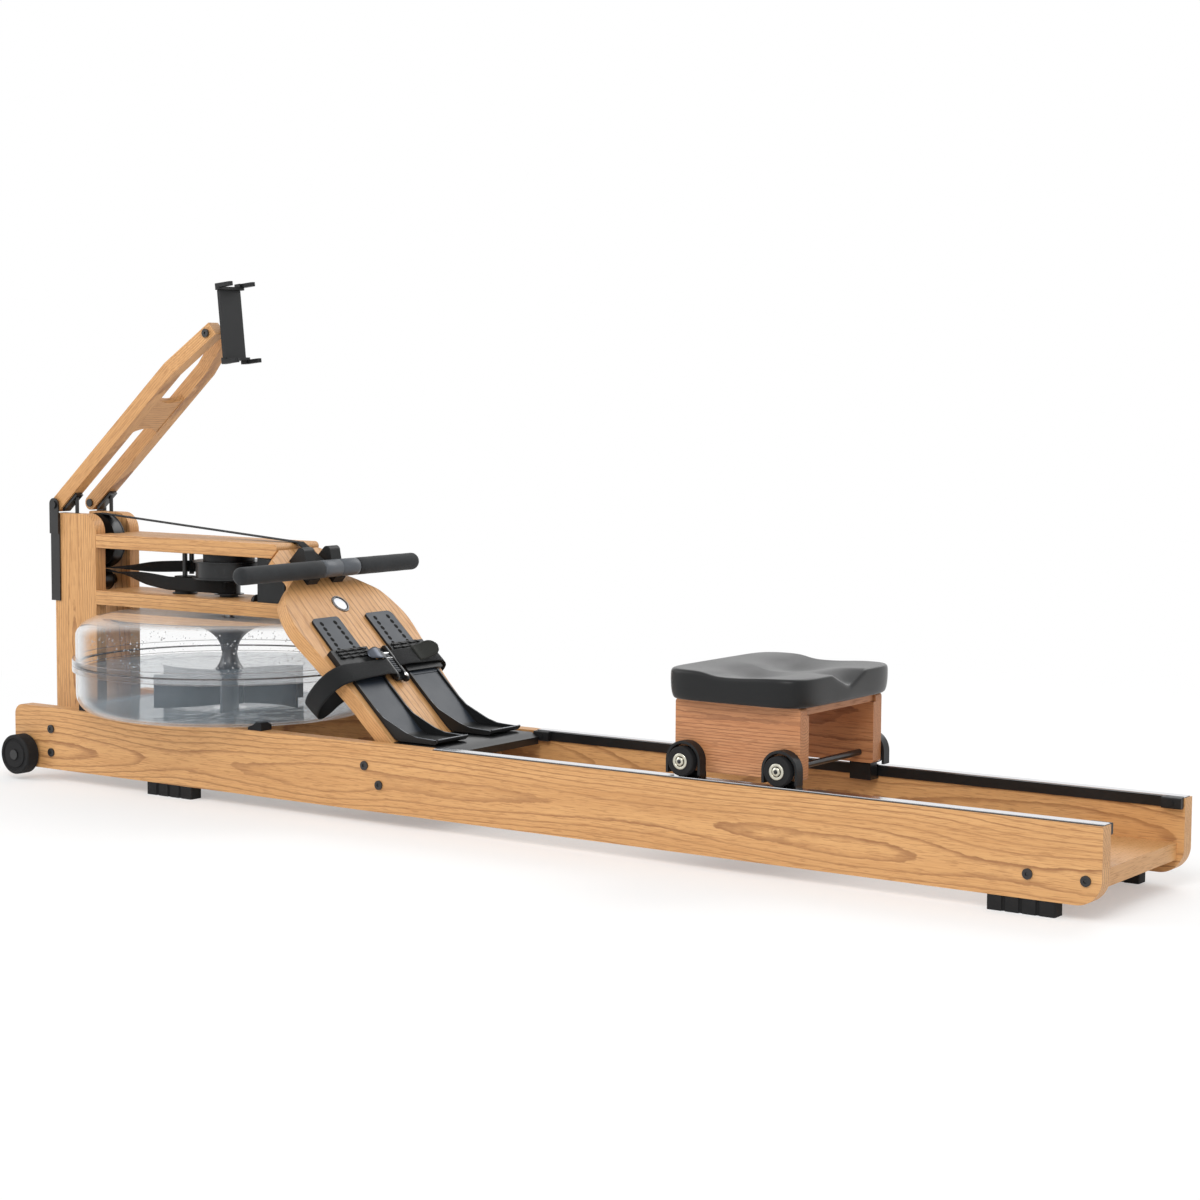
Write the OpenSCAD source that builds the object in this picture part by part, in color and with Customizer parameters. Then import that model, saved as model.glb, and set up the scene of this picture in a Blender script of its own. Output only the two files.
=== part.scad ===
// Water rowing machine: two long rails carry a sliding seat, a clear water tank with its
// impeller, a sloped footboard, and two uprights with folding tablet arms.
// The rails' front ends face -X, the seat end faces +X, and the floor is Z = 0.
// Positions along the machine are measured from the front ends of the rails.

/* [Rails] */
// Length of each rail
rail_len = 2094; // [1900:2:2300]
// Thickness of each rail
rail_t = 26; // [22:1:32]
// Height of each rail
rail_h = 110; // [100:1:120]
// Clear width between the rails
rail_gap = 258; // [256:1:280]
// Height of the feet under the rails
foot_h = 21.5; // [18:0.5:30]
// Radius of the rails' lower rear corners
rail_rear_r = 38; // [20:1:45]
// Radius of the rails' upper front corners
rail_front_r = 18; // [8:1:30]
// Length of the front feet
front_foot_len = 105; // [80:1:130]
// Length of the rear feet
rear_foot_len = 102; // [80:1:130]
// Distance of the front feet from the rails' front ends
front_foot_x = 327; // [250:1:360]
// Distance of the rear feet from the rails' rear ends
rear_foot_inset = 67; // [50:1:90]
// Depth of the grooves between the feet's lobes
foot_groove = 3; // [1:0.5:5]

/* [Seat track] */
// Distance of the tracks' front ends from the rails' front ends
track_x = 954; // [930:1:980]
// Distance of the tracks' rear ends from the rails' rear ends
track_inset = 2; // [1:1:20]
// Thickness of the black track base
track_base_t = 1; // [0.8:0.1:2]
// Thickness of the bright running strip
track_strip_t = 1.2; // [0.8:0.1:2]
// Width of the bright running strip
track_strip_w = 18; // [14:1:20]
// Thickness of the flange down the rails' inner faces
track_flange_t = 3; // [2:0.5:4]
// Depth of the flange below the rails' tops
track_flange_h = 14.2; // [12:0.1:18]
// Length of each end stop
stop_len = 30; // [20:1:40]
// Reach of each end stop towards the middle
stop_w = 8; // [6:0.5:9]
// Height of each end stop
stop_h = 16; // [12:1:18]

/* [Cross boards] */
// Thickness of the boards that join the rails
cross_t = 25; // [20:1:30]
// Height of the front cross board
front_cross_h = 80; // [70:1:85]
// Height of the cross boards' lower edges above the floor
cross_z = 32; // [28:1:36]
// Length of the cleat under the footboard, down its slope
cleat_len = 82; // [70:1:90]
// Thickness of the cleat
cleat_t = 40; // [32:1:44]
// Distance of the cleat's middle down the slope
cleat_mid = 27; // [20:1:32]
// Length of the rear deck board
rear_deck_len = 140; // [120:1:180]
// Height of the rear deck's middle above the floor
rear_deck_z = 55; // [50:1:60]
// Distance of the rear deck from the rails' rear ends
rear_deck_inset = 11; // [6:1:20]
// Diameter of the frame bolts' heads
bolt_head_d = 15; // [12:1:18]
// Height of the frame bolts' heads
bolt_head_h = 2.5; // [2:0.5:4]
// Distance between the frame bolts of a pair
bolt_pitch = 42; // [30:1:50]
// Diameter of the frame bolts' shanks
bolt_d = 8; // [6:1:10]
// Width across the flats of the bolts' sockets
socket_w = 6; // [5:0.5:8]

/* [Uprights] */
// Thickness of each upright
upright_t = 24.2; // [20:0.1:28]
// Clear width between the uprights
upright_gap = 60.4; // [56:0.2:70]
// Depth of the uprights, front to back
upright_w = 104.7; // [95:0.1:106]
// Height of the uprights' tops above the floor
upright_top = 470; // [460:1:490]
// Radius of the uprights' upper rear corners
upright_r = 32; // [15:1:40]

/* [Decks] */
// Thickness of the decks
deck_t = 25; // [20:1:28]
// Height of the upper deck's underside above the floor
upper_deck_z = 410.4; // [405:0.2:420]
// Height of the lower deck's underside above the floor
lower_deck_z = 308.8; // [307:0.2:312]
// Width of both decks
deck_w = 109; // [100:1:116]

/* [Footboard] */
// Slope of the footboard above the floor, in degrees
board_angle = 44.1; // [42:0.1:46]
// Distance from the tank's flange to the foot of the footboard's slope
board_gap = 193.9; // [180:0.1:210]
// Thickness of the footboard
board_t = 25; // [20:1:28]
// Length of the board above the rails' tops, along its slope
board_len = 422.5; // [415:0.5:430]
// Length of the board below the rails' tops, along its slope
board_foot = 62; // [50:1:75]
// Widest half width of the board
board_half_w = 143; // [135:1:150]
// Half width of the board's lower part
board_low_w = 121; // [110:1:126]
// Half width of the board's neck
board_neck_w = 62; // [52:1:68]
// Half width of the board's head
board_head_w = 85; // [75:1:92]
// Diameter of the round badge plate
badge_d = 34; // [24:1:44]
// Place of the badge plate along the slope
badge_s = 293; // [285:1:300]

/* [Foot rests] */
// Height of the heel rests' tongues off the board
plate_t = 5; // [4:0.5:7]
// Distance from the middle to the heel rests' tongues
plate_in = 35; // [30:1:40]
// Width of the heel rests' tongues at their tops
plate_w = 68; // [60:1:72]
// Place of the strap anchors' lower ends along the slope
plate_low = 128; // [124:1:140]
// Reach of the tongues above the anchors' lower ends
plate_len = 136; // [120:1:145]
// Width of the heel rests' channels
cup_w = 78; // [72:1:80]
// Length of the heel rests' channels along the slope
cup_len = 122; // [100:1:125]
// Travel of the heel rests up the slope
cup_travel = 58; // [40:1:60]
// Thickness of the heel rests' walls
cup_wall = 3; // [2:0.5:4]
// Width of the toe straps' webbing
toe_strap_w = 38; // [30:1:45]
// Thickness of the toe straps' webbing
toe_strap_t = 2; // [1.5:0.1:3]

/* [Tank] */
// Gap between the uprights and the tank's flange
tank_gap = 1.3; // [0.5:0.1:6]
// Outer radius of the tank's body
tank_r = 266; // [250:1:267]
// Reach of the tank's flanges beyond its body
flange_lip = 6; // [4:0.5:10]
// Thickness of the tank's walls
tank_wall = 4; // [3:0.5:6]
// Height of the tank's underside above the floor
tank_z = 134.6; // [134.6:0.1:136]
// Height of the flange's underside above the floor
flange_z = 209.5; // [200:0.5:215]
// Thickness of each shell's flange
flange_t = 9.5; // [6:0.5:10]
// Thickness of the seal between the flanges
seal_t = 1; // [0.6:0.1:2]
// Radius of the tank's lower edge
tank_low_r = 36; // [20:1:45]
// Radius of the tank's flat top
tank_top_r = 206; // [190:1:215]
// Height of the shoulder at the top of the tank
shoulder_h = 33; // [24:1:40]
// Height of the tank's top above the floor
tank_top = 303; // [295:1:306]
// Height of the water's surface above the floor
water_z = 208.5; // [180:0.5:215]

/* [Impeller] */
// Number of paddles
paddle_count = 6; // [4:1:8]
// Radius of the paddles' tips
paddle_r = 150; // [110:1:180]
// Height of the paddles
paddle_h = 58; // [40:1:64]
// Thickness of the paddles
paddle_t = 4; // [3:0.5:6]
// Diameter of the drive shaft
shaft_d = 20; // [16:1:22]

/* [Drive] */
// Radius of the strap drum's body with its wound strap
drum_r = 58; // [50:1:62]
// Radius of the strap drum's flanges
drum_flange_r = 62.4; // [60:0.2:68]
// Height of the strap drum
drum_h = 31.5; // [26:0.5:34]
// Radius of the recoil spool
spool_r = 20; // [16:1:30]
// Radius of the top pulley
pulley_r = 48.5; // [42:0.5:50]
// Width of the top pulley
pulley_w = 26; // [22:1:30]
// Distance from the rails' front ends to the pulleys' axles
pulley_x = 62.4; // [56:0.1:66]
// Distance from the strap guides to the tank's axis
guide_gap = 106; // [100:1:118]
// Radius of the guide roller
roller_r = 18; // [14:1:22]
// Width of the pull strap
strap_w = 20; // [18:1:22]
// Thickness of the straps
strap_t = 1.5; // [1:0.1:2]
// Radius of the recoil pulley
recoil_r = 18; // [14:1:19]
// Width of the recoil strap
recoil_w = 24; // [20:1:26]
// Height of the recoil spool
spool_h = 28; // [26:0.5:30]
// Diameter of the strap's guide posts
post_d = 9; // [7:0.5:11]
// Diameter of the elastic cord
bungee_d = 9; // [7:0.5:12]
// Distance from the tank's axis to the sensor box
sensor_gap = 112.5; // [108:0.5:120]
// Length of the sensor housing
sensor_len = 62; // [50:1:66]
// Width of the sensor housing
sensor_w = 100; // [80:1:104]

/* [Handle] */
// Whole length of the handle
handle_len = 460; // [420:1:500]
// Diameter of the foam grips
grip_d = 30; // [26:1:34]
// Length of the left foam grip
left_grip_len = 206; // [150:1:208]
// Length of the right foam grip
right_grip_len = 164; // [120:1:180]
// Diameter of the handle's bar
bar_d = 20; // [16:1:22]
// Diameter of the sleeve around the handle's middle
sleeve_d = 30; // [24:1:34]
// Distance of the handle's axis above the board's face
handle_off = 26.3; // [24:0.1:34]
// Place of the handle along the slope
handle_s = 351; // [347:1:355]
// Travel of the handle
handle_travel = 900; // [700:10:1000]
// Direction of the handle's travel above level, in degrees
handle_dir = 10; // [5:1:15]

/* [Seat] */
// Distance from the rails' front ends to the middle of the seat
seat_x = 1501; // [1450:1:1560]
// Length of the seat's side panels
panel_len = 215; // [190:1:230]
// Height of the side panels
panel_h = 106; // [95:1:115]
// Thickness of the side panels
panel_t = 25; // [18:1:28]
// Clear width between the side panels
panel_gap = 193.6; // [180:0.2:196]
// Distance between the seat's axles
axle_base = 166; // [140:1:176]
// Radius of the seat's wheels
seat_wheel_r = 22; // [19:0.5:24]
// Width of the seat's wheels
seat_wheel_w = 15; // [12:1:17]
// Thickness of the board under the cushion
seat_board_t = 12; // [9:1:18]
// Length of the cushion
cushion_len = 222; // [200:1:250]
// Width of the cushion
cushion_w = 282; // [250:1:300]
// Height of the cushion at its edges
cushion_h = 46; // [38:1:55]

/* [Transport wheels] */
// Radius of the transport wheels
roll_r = 35.2; // [30:0.2:38]
// Width of the transport wheels
roll_w = 27; // [22:1:32]
// Distance from the rails' front ends to the transport axle
roll_x = 29.2; // [24:0.2:32]
// Height of the transport axle above the floor
roll_z = 45; // [42:1:50]
// Diameter of the transport and pulley axles
axle_d = 12; // [10:1:14]

/* [Tablet arms] */
// Angle of the tablet arms above level, in degrees
arm_angle = 41; // [36:1:44]
// Face width of the tablet arms
arm_w = 26; // [22:1:28]
// Length of the arms from pivot to bend
arm_straight = 375; // [300:1:400]
// Length of the arms from pivot to tilt bolt
arm_len = 470; // [400:1:480]
// Angle by which the arms' ends bend inwards, in degrees
arm_bend = 13.6; // [8:0.1:13.8]
// Height of the arms' pivot above the floor
pivot_z = 485; // [484:1:500]
// Place of the arms' pivot behind the rails' front ends
pivot_x = 4; // [3:1:14]
// Width of the steel brackets
bracket_w = 22; // [18:1:24]
// Thickness of the steel brackets
bracket_t = 3; // [2:0.5:4]
// Diameter of the arms' pivot bolts
pivot_d = 8; // [6:1:10]
// Distance from the rails' front ends to the stay rods
stay_x = 46; // [42:1:56]
// Diameter of the stay rods
stay_d = 7; // [5:0.5:8]
// Width of the tablet holder
holder_w = 52; // [44:1:60]
// Height of the tablet holder
holder_h = 117; // [100:1:130]
// Thickness of the tablet holder
holder_t = 6.5; // [5:0.5:8]
// Lean of the tablet holder from upright, in degrees
holder_lean = 6.1; // [0:0.1:15]
// Reach of the clamps' prongs
prong_len = 32; // [20:1:40]
// Travel of the upper clamp
clamp_travel = 60; // [30:1:70]

/* [Fits] */
// Running clearance of a shaft in its bore
run_clear = 0.05; // [0.03:0.01:0.08]
// Gap between parts that move past each other
move_gap = 0.3; // [0.3:0.1:0.5]
// Clearance of bolts in their holes
bolt_clear = 0.1; // [0.1:0.05:0.3]

/* [Hidden] */
$fn = 48;

// Colours as the photograph shows them
oak = [0.80, 0.59, 0.37];
red_oak = [0.70, 0.45, 0.28];
coal = [0.11, 0.11, 0.12];
slate = [0.27, 0.29, 0.32];
steel = [0.72, 0.73, 0.75];
silver = [0.84, 0.85, 0.86];
clear = [0.86, 0.93, 0.96, 0.4];
pool = [0.72, 0.86, 0.92, 0.5];

// Levels and ends worked out from the sizes above
arm_r = arm_w / 2;
front_reach = max(roll_r - roll_x, arm_r - pivot_x);
rail_front = (front_reach - rail_len) / 2;
rail_rear = rail_front + rail_len;
rail_top = foot_h + rail_h;
rail_in = rail_gap / 2;
rail_out = rail_in + rail_t;
track_top = rail_top + track_base_t + track_strip_t;
upright_in = upright_gap / 2;
upright_out = upright_in + upright_t;
lower_deck_top = lower_deck_z + deck_t;
stay_y = (upright_in + upright_out) / 2;
stay_depth = 20;
axle_seat = 12;
pulley_z = upright_top - pulley_r - strap_t - move_gap;
recoil_z = lower_deck_top + 14;
flange_r = tank_r + flange_lip;
tank_x = upright_w + tank_gap + flange_r;
board_x = tank_x + flange_r + board_gap;
guide_x = tank_x - guide_gap;
upper_deck_top = upper_deck_z + deck_t;
cross_x = upright_w - cross_t;

// Moves children to a distance behind the rails' front ends
module behind(x, z = 0) {
    translate([rail_front + x, 0, z]) children();
}

// Makes an XZ outline a slab from y to y + t
module slab(y, t) {
    translate([0, y + t, 0]) rotate([90, 0, 0]) linear_extrude(t) children();
}

// A rod along Y from y0 to y1
module rod_y(d, y0, y1) {
    translate([0, y1, 0]) rotate([90, 0, 0]) cylinder(d = d, h = y1 - y0);
}

// Children and their mirror image across the machine's middle
module both_sides() {
    children();
    mirror([0, 1, 0]) children();
}

// Points of an arc about c
function arc(c, r, a0, a1, n = 8) =
    [for (i = [0:n]) let (a = a0 + (a1 - a0) * i / n) c + r * [cos(a), sin(a)]];

// Points of an arc about c with two half axes
function oval(c, rx, ry, a0, a1, n = 8) =
    [for (i = [0:n]) let (a = a0 + (a1 - a0) * i / n) c + [rx * cos(a), ry * sin(a)]];

// A smooth curve through a list of points
function spline(p, n = 6) = [
    for (i = [0:len(p) - 2], k = [0:n - 1])
        let (a = p[max(i - 1, 0)], b = p[i], c = p[i + 1], d = p[min(i + 2, len(p) - 1)], t = k / n)
            0.5 * (2 * b + (c - a) * t + (2 * a - 5 * b + 4 * c - d) * t * t
                + (3 * b - a - 3 * c + d) * t * t * t),
    p[len(p) - 1]];

// A rectangle with round corners, from its low corner
module round_rect(size, r) {
    polygon(concat(
        arc([size[0] - r, size[1] - r], r, 0, 90),
        arc([r, size[1] - r], r, 90, 180),
        arc([r, r], r, 180, 270),
        arc([size[0] - r, r], r, 270, 360)));
}

// A tape along points, with the direction of its width at each of them
module ribbon(points, across, width, t) {
    n = len(points);
    half = width / 2;
    corners = [for (i = [0:n - 1]) let (p = points[i], w = across[i] * half, f = normal_at(points, across, i))
        each [p + w, p - w, p - w + f * t, p + w + f * t]];
    sides = [for (i = [0:n - 2], k = [0:3]) let (a = 4 * i + k, b = 4 * i + (k + 1) % 4)
        each [[a, b, a + 4], [b, b + 4, a + 4]]];
    polyhedron(corners, concat(sides, [[3, 2, 1], [3, 1, 0]],
        [for (t = [[0, 1, 2], [0, 2, 3]]) [for (v = t) v + 4 * (n - 1)]]));
}

// The face normal of a ribbon at one of its points
function normal_at(points, across, i) =
    let (a = points[max(i - 1, 0)], b = points[min(i + 1, len(points) - 1)])
        unit(cross(unit(b - a), across[i]));
function unit(v) = v / norm(v);

// A point of the footboard's slope: distance down it from the rails' tops, and off its face
function on_slope(u, n) = [board_x + u * cos(board_angle) + n * sin(board_angle),
    rail_top - u * sin(board_angle) + n * cos(board_angle)];

// Distance behind the rails' front ends where height z meets the plane n off the board's face
function slope_x(z, n) = board_x + (n - (z - rail_top) * cos(board_angle)) / sin(board_angle);

// Bolts through the rails: distance behind the rails' front ends, height
cross_bolts = [for (z = [-1, 1]) [cross_x + cross_t / 2, cross_z + front_cross_h / 2 + z * bolt_pitch / 2]];
cleat_bolts = [for (u = [-1, 1]) on_slope(cleat_mid + u * bolt_pitch / 2, -board_t - cleat_t / 2)];
deck_bolts = [for (x = [12, 97]) [rail_len - rear_deck_inset - x, rear_deck_z + 1]];
rail_bolts = concat(cross_bolts, cleat_bolts, deck_bolts);

module rail_outline() {
    polygon(concat(
        arc([rail_len - rail_rear_r, foot_h + rail_rear_r], rail_rear_r, -90, 0, 14),
        [[rail_len, rail_top]],
        arc([rail_front_r, rail_top - rail_front_r], rail_front_r, 90, 180),
        [[0, foot_h]]));
}

module rail() {
    difference() {
        behind(0) slab(rail_in, rail_t) rail_outline();
        for (b = rail_bolts)
            behind(b[0], b[1]) rod_y(bolt_d + 2 * bolt_clear, rail_in - 1, rail_out + 1);
        behind(roll_x, roll_z) rod_y(axle_d + 2 * bolt_clear, rail_in - 1, rail_out + 1);
    }
}

module left_rail() {
    color(oak) mirror([0, 1, 0]) rail();
}

module right_rail() {
    color(oak) rail();
}

// The running strips lie on the black bases, on top of the rails
track_len = rail_len - track_x - track_inset;
strip_y = rail_in + 1;

module track_strips() {
    color(silver) both_sides()
        translate([rail_front + track_x, strip_y, rail_top + track_base_t])
            cube([track_len, track_strip_w, track_strip_t]);
}

module track_bases() {
    color(coal) both_sides() translate([rail_front + track_x, 0, 0]) {
        translate([0, rail_in - track_flange_t, rail_top - track_flange_h])
            cube([track_len, track_flange_t, track_flange_h + track_base_t]);
        translate([0, rail_in, rail_top])
            cube([track_len, track_strip_w + 4, track_base_t]);
    }
}

// The end stops are screwed to the flanges
stop_y = rail_in - track_flange_t - stop_w;

module track_stop() {
    translate([0, stop_y, rail_top + track_base_t - stop_h]) {
        rotate([90, 0, 90]) linear_extrude(stop_len) round_rect([stop_w, stop_h], 2);
        translate([stop_len / 2, 0, stop_h / 2]) rotate([90, 0, 0]) cylinder(d = 7, h = 1.5);
    }
}

module track_stops() {
    color(coal) both_sides() {
        behind(track_x) track_stop();
        behind(rail_len - track_inset - stop_len) track_stop();
    }
}

module foot(len) {
    lobes = 4;
    pitch = len / lobes;
    linear_extrude(foot_h) difference() {
        round_rect([len, rail_t], 3);
        for (i = [1:lobes - 1], y = [0, rail_t])
            translate([i * pitch, y]) circle(r = foot_groove);
    }
}

module rail_feet() {
    color(coal) both_sides() translate([0, rail_in, 0]) {
        behind(front_foot_x) foot(front_foot_len);
        behind(rail_len - rear_foot_inset - rear_foot_len) foot(rear_foot_len);
    }
}

module front_cross() {
    color(oak) difference() {
        translate([rail_front + cross_x, -rail_in, cross_z]) cube([cross_t, rail_gap, front_cross_h]);
        for (b = cross_bolts) behind(b[0], b[1]) both_sides() bolt_bore();
        behind(cross_x - 1, cord_z) rotate([0, 90, 0]) cylinder(d = bungee_d + 3, h = cross_t + 2);
    }
}

module rear_deck() {
    color(oak) difference() {
        translate([rail_rear - rear_deck_inset - rear_deck_len, -rail_in, rear_deck_z - cross_t / 2])
            cube([rear_deck_len, rail_gap, cross_t]);
        for (b = deck_bolts) behind(b[0], b[1]) both_sides() bolt_bore();
    }
}

// Bolts hold the cross boards, the cleat and the rear deck between the rails
bolt_grip = 34;

module bolt_bore() {
    rod_y(bolt_d + 2 * bolt_clear, rail_in - bolt_grip - 1, rail_in + 1);
}

module bolt() {
    difference() {
        union() {
            rod_y(bolt_d, rail_in - bolt_grip, rail_out);
            rod_y(bolt_head_d, rail_out, rail_out + bolt_head_h);
        }
        translate([0, rail_out + bolt_head_h + 1, 0]) rotate([90, 0, 0])
            cylinder(d = socket_w * 1.155, h = bolt_head_h, $fn = 6);
    }
}

module frame_bolts() {
    color(coal) {
        both_sides() for (b = rail_bolts) behind(b[0], b[1]) bolt();
        both_sides() behind(pivot_x, pivot_z) pivot_bolt();
    }
}

// The pivot bolts run through the brackets, a washer and the arms
bracket_in = upright_out + bracket_t;
bracket_out = bracket_in + bracket_t;

module pivot_bolt() {
    head_t = 3;
    rod_y(pivot_d, upright_in - move_gap, bracket_out);
    rod_y(pivot_d * 1.8, upright_in - move_gap - head_t, upright_in - move_gap);
    rod_y(pivot_d * 1.8, upright_out + move_gap, bracket_in);
    rod_y(pivot_d * 1.8, bracket_out, bracket_out + head_t);
}

module uprights() {
    color(oak) both_sides() difference() {
        slab(upright_in, upright_t) translate([rail_front, 0]) difference() {
            polygon(concat(
                arc([upright_w - upright_r, upright_top - upright_r], upright_r, 0, 90, 12),
                [[2, upright_top], [0, upright_top - 2], [0, cross_z], [upright_w, cross_z]]));
            translate([cross_x, cross_z - 1]) square([cross_t + 1, front_cross_h + 1]);
        }
        for (z = [pulley_z, recoil_z])
            behind(pulley_x, z) rod_y(axle_d + 2 * bolt_clear, upright_in - 1, upright_in + axle_seat);
        behind(stay_x) translate([0, stay_y, upright_top - stay_depth])
            cylinder(d = stay_d + 2 * bolt_clear, h = stay_depth + 1);
    }
}

// The decks butt against the uprights in front and the footboard behind
module deck(z, rear) {
    slab(-deck_w / 2, deck_w) translate([rail_front, 0])
        polygon(concat([[upright_w, z + deck_t], [upright_w, z], [rear[0], z]], rear[1]));
}

module upper_deck() {
    round_r = 8;
    low = on_slope(-board_len, -board_t)[0] + (upper_deck_z - on_slope(-board_len, -board_t)[1])
        * tan(board_angle);
    high = low + deck_t * tan(board_angle);
    notch = pulley_x + pulley_r + strap_t + 3 - upright_w;
    color(oak) difference() {
        deck(upper_deck_z, [low,
            arc([high - round_r * tan(45 + board_angle / 2), upper_deck_top - round_r], round_r,
                -board_angle, 90)]);
        behind(upright_w, upper_deck_z - 1) translate([-1, -pulley_w / 2 - 3, 0])
            cube([notch + 1, pulley_w + 6, deck_t + 2]);
    }
}

module lower_deck() {
    color(oak) difference() {
        deck(lower_deck_z, [slope_x(lower_deck_z, -board_t), [[slope_x(lower_deck_top, -board_t), lower_deck_top]]]);
        behind(tank_x, lower_deck_z - 1) cylinder(d = shaft_d + 4, h = deck_t + 2);
    }
}

// Children stand on the footboard: X runs down its slope, Z is off its face
module on_board(u = 0, n = 0) {
    behind(board_x, rail_top) rotate([0, board_angle, 0]) translate([u, 0, n]) children();
}

// Half of the footboard's outline: share of its length up the slope, half width
board_stations = [[0.1065, board_low_w], [0.2367, board_low_w + 2], [0.355, board_half_w - 13],
    [0.4734, board_half_w - 6], [0.5491, board_half_w - 1], [0.6036, board_half_w],
    [0.6533, board_half_w - 4], [0.7006, board_half_w - 11], [0.7503, board_half_w - 22],
    [0.7905, board_neck_w + 38], [0.8189, board_neck_w + 21], [0.8426, board_neck_w + 5],
    [0.871, board_neck_w], [0.897, board_neck_w + 6], [0.9136, board_head_w - 2]];
board_side = concat(
    [[-board_foot, board_low_w - 1], [0.071 * board_len, board_low_w - 1]],
    spline([for (p = board_stations) [p[0] * board_len, p[1]]], 4),
    [[0.9231 * board_len, board_head_w], [board_len - 22, board_head_w], [board_len, board_neck_w - 11]]);

module board_outline() {
    n = len(board_side);
    polygon([for (p = board_side) [-p[0], p[1]],
        for (i = [n - 1:-1:0]) [-board_side[i][0], -board_side[i][1]]]);
}

module footboard() {
    color(oak) difference() {
        on_board(0, -board_t) linear_extrude(board_t) board_outline();
        on_board(-badge_s, -2) cylinder(d = badge_d + 1, h = 3);
    }
}

module badge_disc() {
    color(silver) on_board(-badge_s, -2) union() {
        cylinder(d = badge_d, h = 2.6);
        rotate_extrude() translate([badge_d / 2 - 1.5, 0]) square([1.5, 3.4]);
    }
}

module footboard_cleat() {
    color(oak) difference() {
        on_board(cleat_mid - cleat_len / 2, -board_t - cleat_t) translate([0, -rail_in, 0])
            cube([cleat_len, rail_gap, cleat_t]);
        for (b = cleat_bolts) behind(b[0], b[1]) both_sides() bolt_bore();
        behind(slope_x(cord_z, -board_t - cleat_t) - 5, cord_z) rotate([0, 90, 0])
            cylinder(d = bungee_d + 2 * move_gap, h = cord_grip + 9);
    }
}

// The wedge at the foot of the slope carries the heel cups' lips
wedge_len = 122;

module heel_wedge() {
    top = 14;
    half = stop_y - 2;
    color(coal) slab(-half, 2 * half) translate([rail_front, 0])
        polygon([[slope_x(rail_top - 20, move_gap), rail_top - 20], [slope_x(rail_top, 0) + wedge_len, rail_top - 20],
            [slope_x(rail_top, 0) + wedge_len, rail_top - 8], [slope_x(rail_top, 0) + wedge_len - top, rail_top - 1],
            [slope_x(rail_top - 1, move_gap), rail_top - 1]]);
}

// Strap anchors: ribbed bridges over the heel rests' tongues
cup_in = plate_in - 3;
cup_out = cup_in + cup_w;
rail_n = 7;
bridge_n = rail_n + move_gap;
bridge_top = bridge_n + 3;
bridge_len = 62;

module strap_anchor() {
    inner = cup_in - move_gap - 4;
    outer = cup_out + move_gap + 10;
    ribs = 3;
    translate([-plate_low - bridge_len, 0, 0]) {
        translate([0, inner, 0]) cube([bridge_len, 4, bridge_top]);
        translate([0, cup_out + move_gap, 0]) cube([bridge_len, 10, bridge_top]);
        translate([0, inner, bridge_n]) cube([bridge_len, outer - inner, bridge_top - bridge_n]);
        for (i = [0:ribs - 1])
            translate([2 + i * 7, cup_in + 2, bridge_top]) cube([3.5, cup_w - 4, 2.5]);
    }
}

module strap_anchors() {
    color(coal) on_board() both_sides() strap_anchor();
}

// Each toe strap crosses its plate and loops round the board's edge
strap_u = -plate_low - 19;
strap_base = bridge_top + move_gap;

module toe_strap() {
    path = spline([[plate_in - 22, strap_base + 10.5], [plate_in, strap_base + 8], [plate_in + 35, strap_base + 5],
        [cup_out + 13, strap_base + 4], [board_half_w + 6, strap_base - 3],
        [board_half_w + 21, -14], [board_half_w + 21, -40], [board_half_w + 5, -board_t - 36],
        [board_half_w - 20, -board_t - 34], [board_half_w - 42, -board_t - 14],
        [board_half_w - 68, -board_t - toe_strap_t - move_gap]], 4);
    points = [for (p = path) [strap_u, p[0], p[1]]];
    ribbon(points, [for (p = path) [1, 0, 0]], toe_strap_w, toe_strap_t);
}

module toe_straps() {
    color(coal) on_board() both_sides() toe_strap();
}

// Cam buckles hold the straps' inner ends; the right one shows its lever
module toe_buckle(lever) {
    body_w = 14;
    half = toe_strap_w / 2 + 3;
    top = strap_base + 14;
    head_r = 6;
    reach = half + (lever ? 17 : -head_r);
    translate([strap_u, plate_in - 20 - body_w, 0]) difference() {
        slab(0, body_w) {
            polygon([[-half, 0], [half, 0], [half, top - 2 * head_r], [reach, top - 2 * head_r], [reach, top],
                [-half - 6, top - 2], [-half - 10, top - 8], [-half, top - 12]]);
            translate([reach, top - head_r]) circle(r = head_r);
        }
        translate([-toe_strap_w / 2 - 1, 5, strap_base + 6]) cube([toe_strap_w + 2, body_w, 5]);
    }
}

module toe_buckles() {
    color(coal) on_board() {
        toe_buckle(true);
        mirror([0, 1, 0]) toe_buckle(false);
    }
}

// Heel rests: a tongue with two rows of holes, a channel for the foot and a level shelf
rest_n = 1;
heel_r = 30;
curl_r = 12;
shelf_len = 66;
shelf_turn = 90 - board_angle;
heel_u = ((rest_n + heel_r * (1 - sin(shelf_turn))) * cos(board_angle) - 1) / sin(board_angle)
    - heel_r * cos(shelf_turn);

module heel_tongue() {
    tongue_end = -plate_low - plate_len;
    rows = 6;
    pitch = 11.5;
    difference() {
        translate([0, 0, rest_n]) linear_extrude(plate_t - rest_n) polygon(concat(
            arc([tongue_end + 6, plate_in + 6], 6, 180, 270),
            [[-cup_len, cup_in + 3], [-cup_len, cup_out - 3]],
            arc([tongue_end + 10, plate_in + plate_w - 10], 10, 90, 180)));
        for (i = [0:rows - 1]) {
            translate([tongue_end + 13 + i * pitch, plate_in + 17 - i * 0.3, 0]) cylinder(d = 6, h = plate_t + 1);
            translate([tongue_end + 13 + i * pitch, plate_in + plate_w - 17 + i * 0.7, 0])
                cylinder(d = 6, h = plate_t + 1);
        }
    }
}

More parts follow.
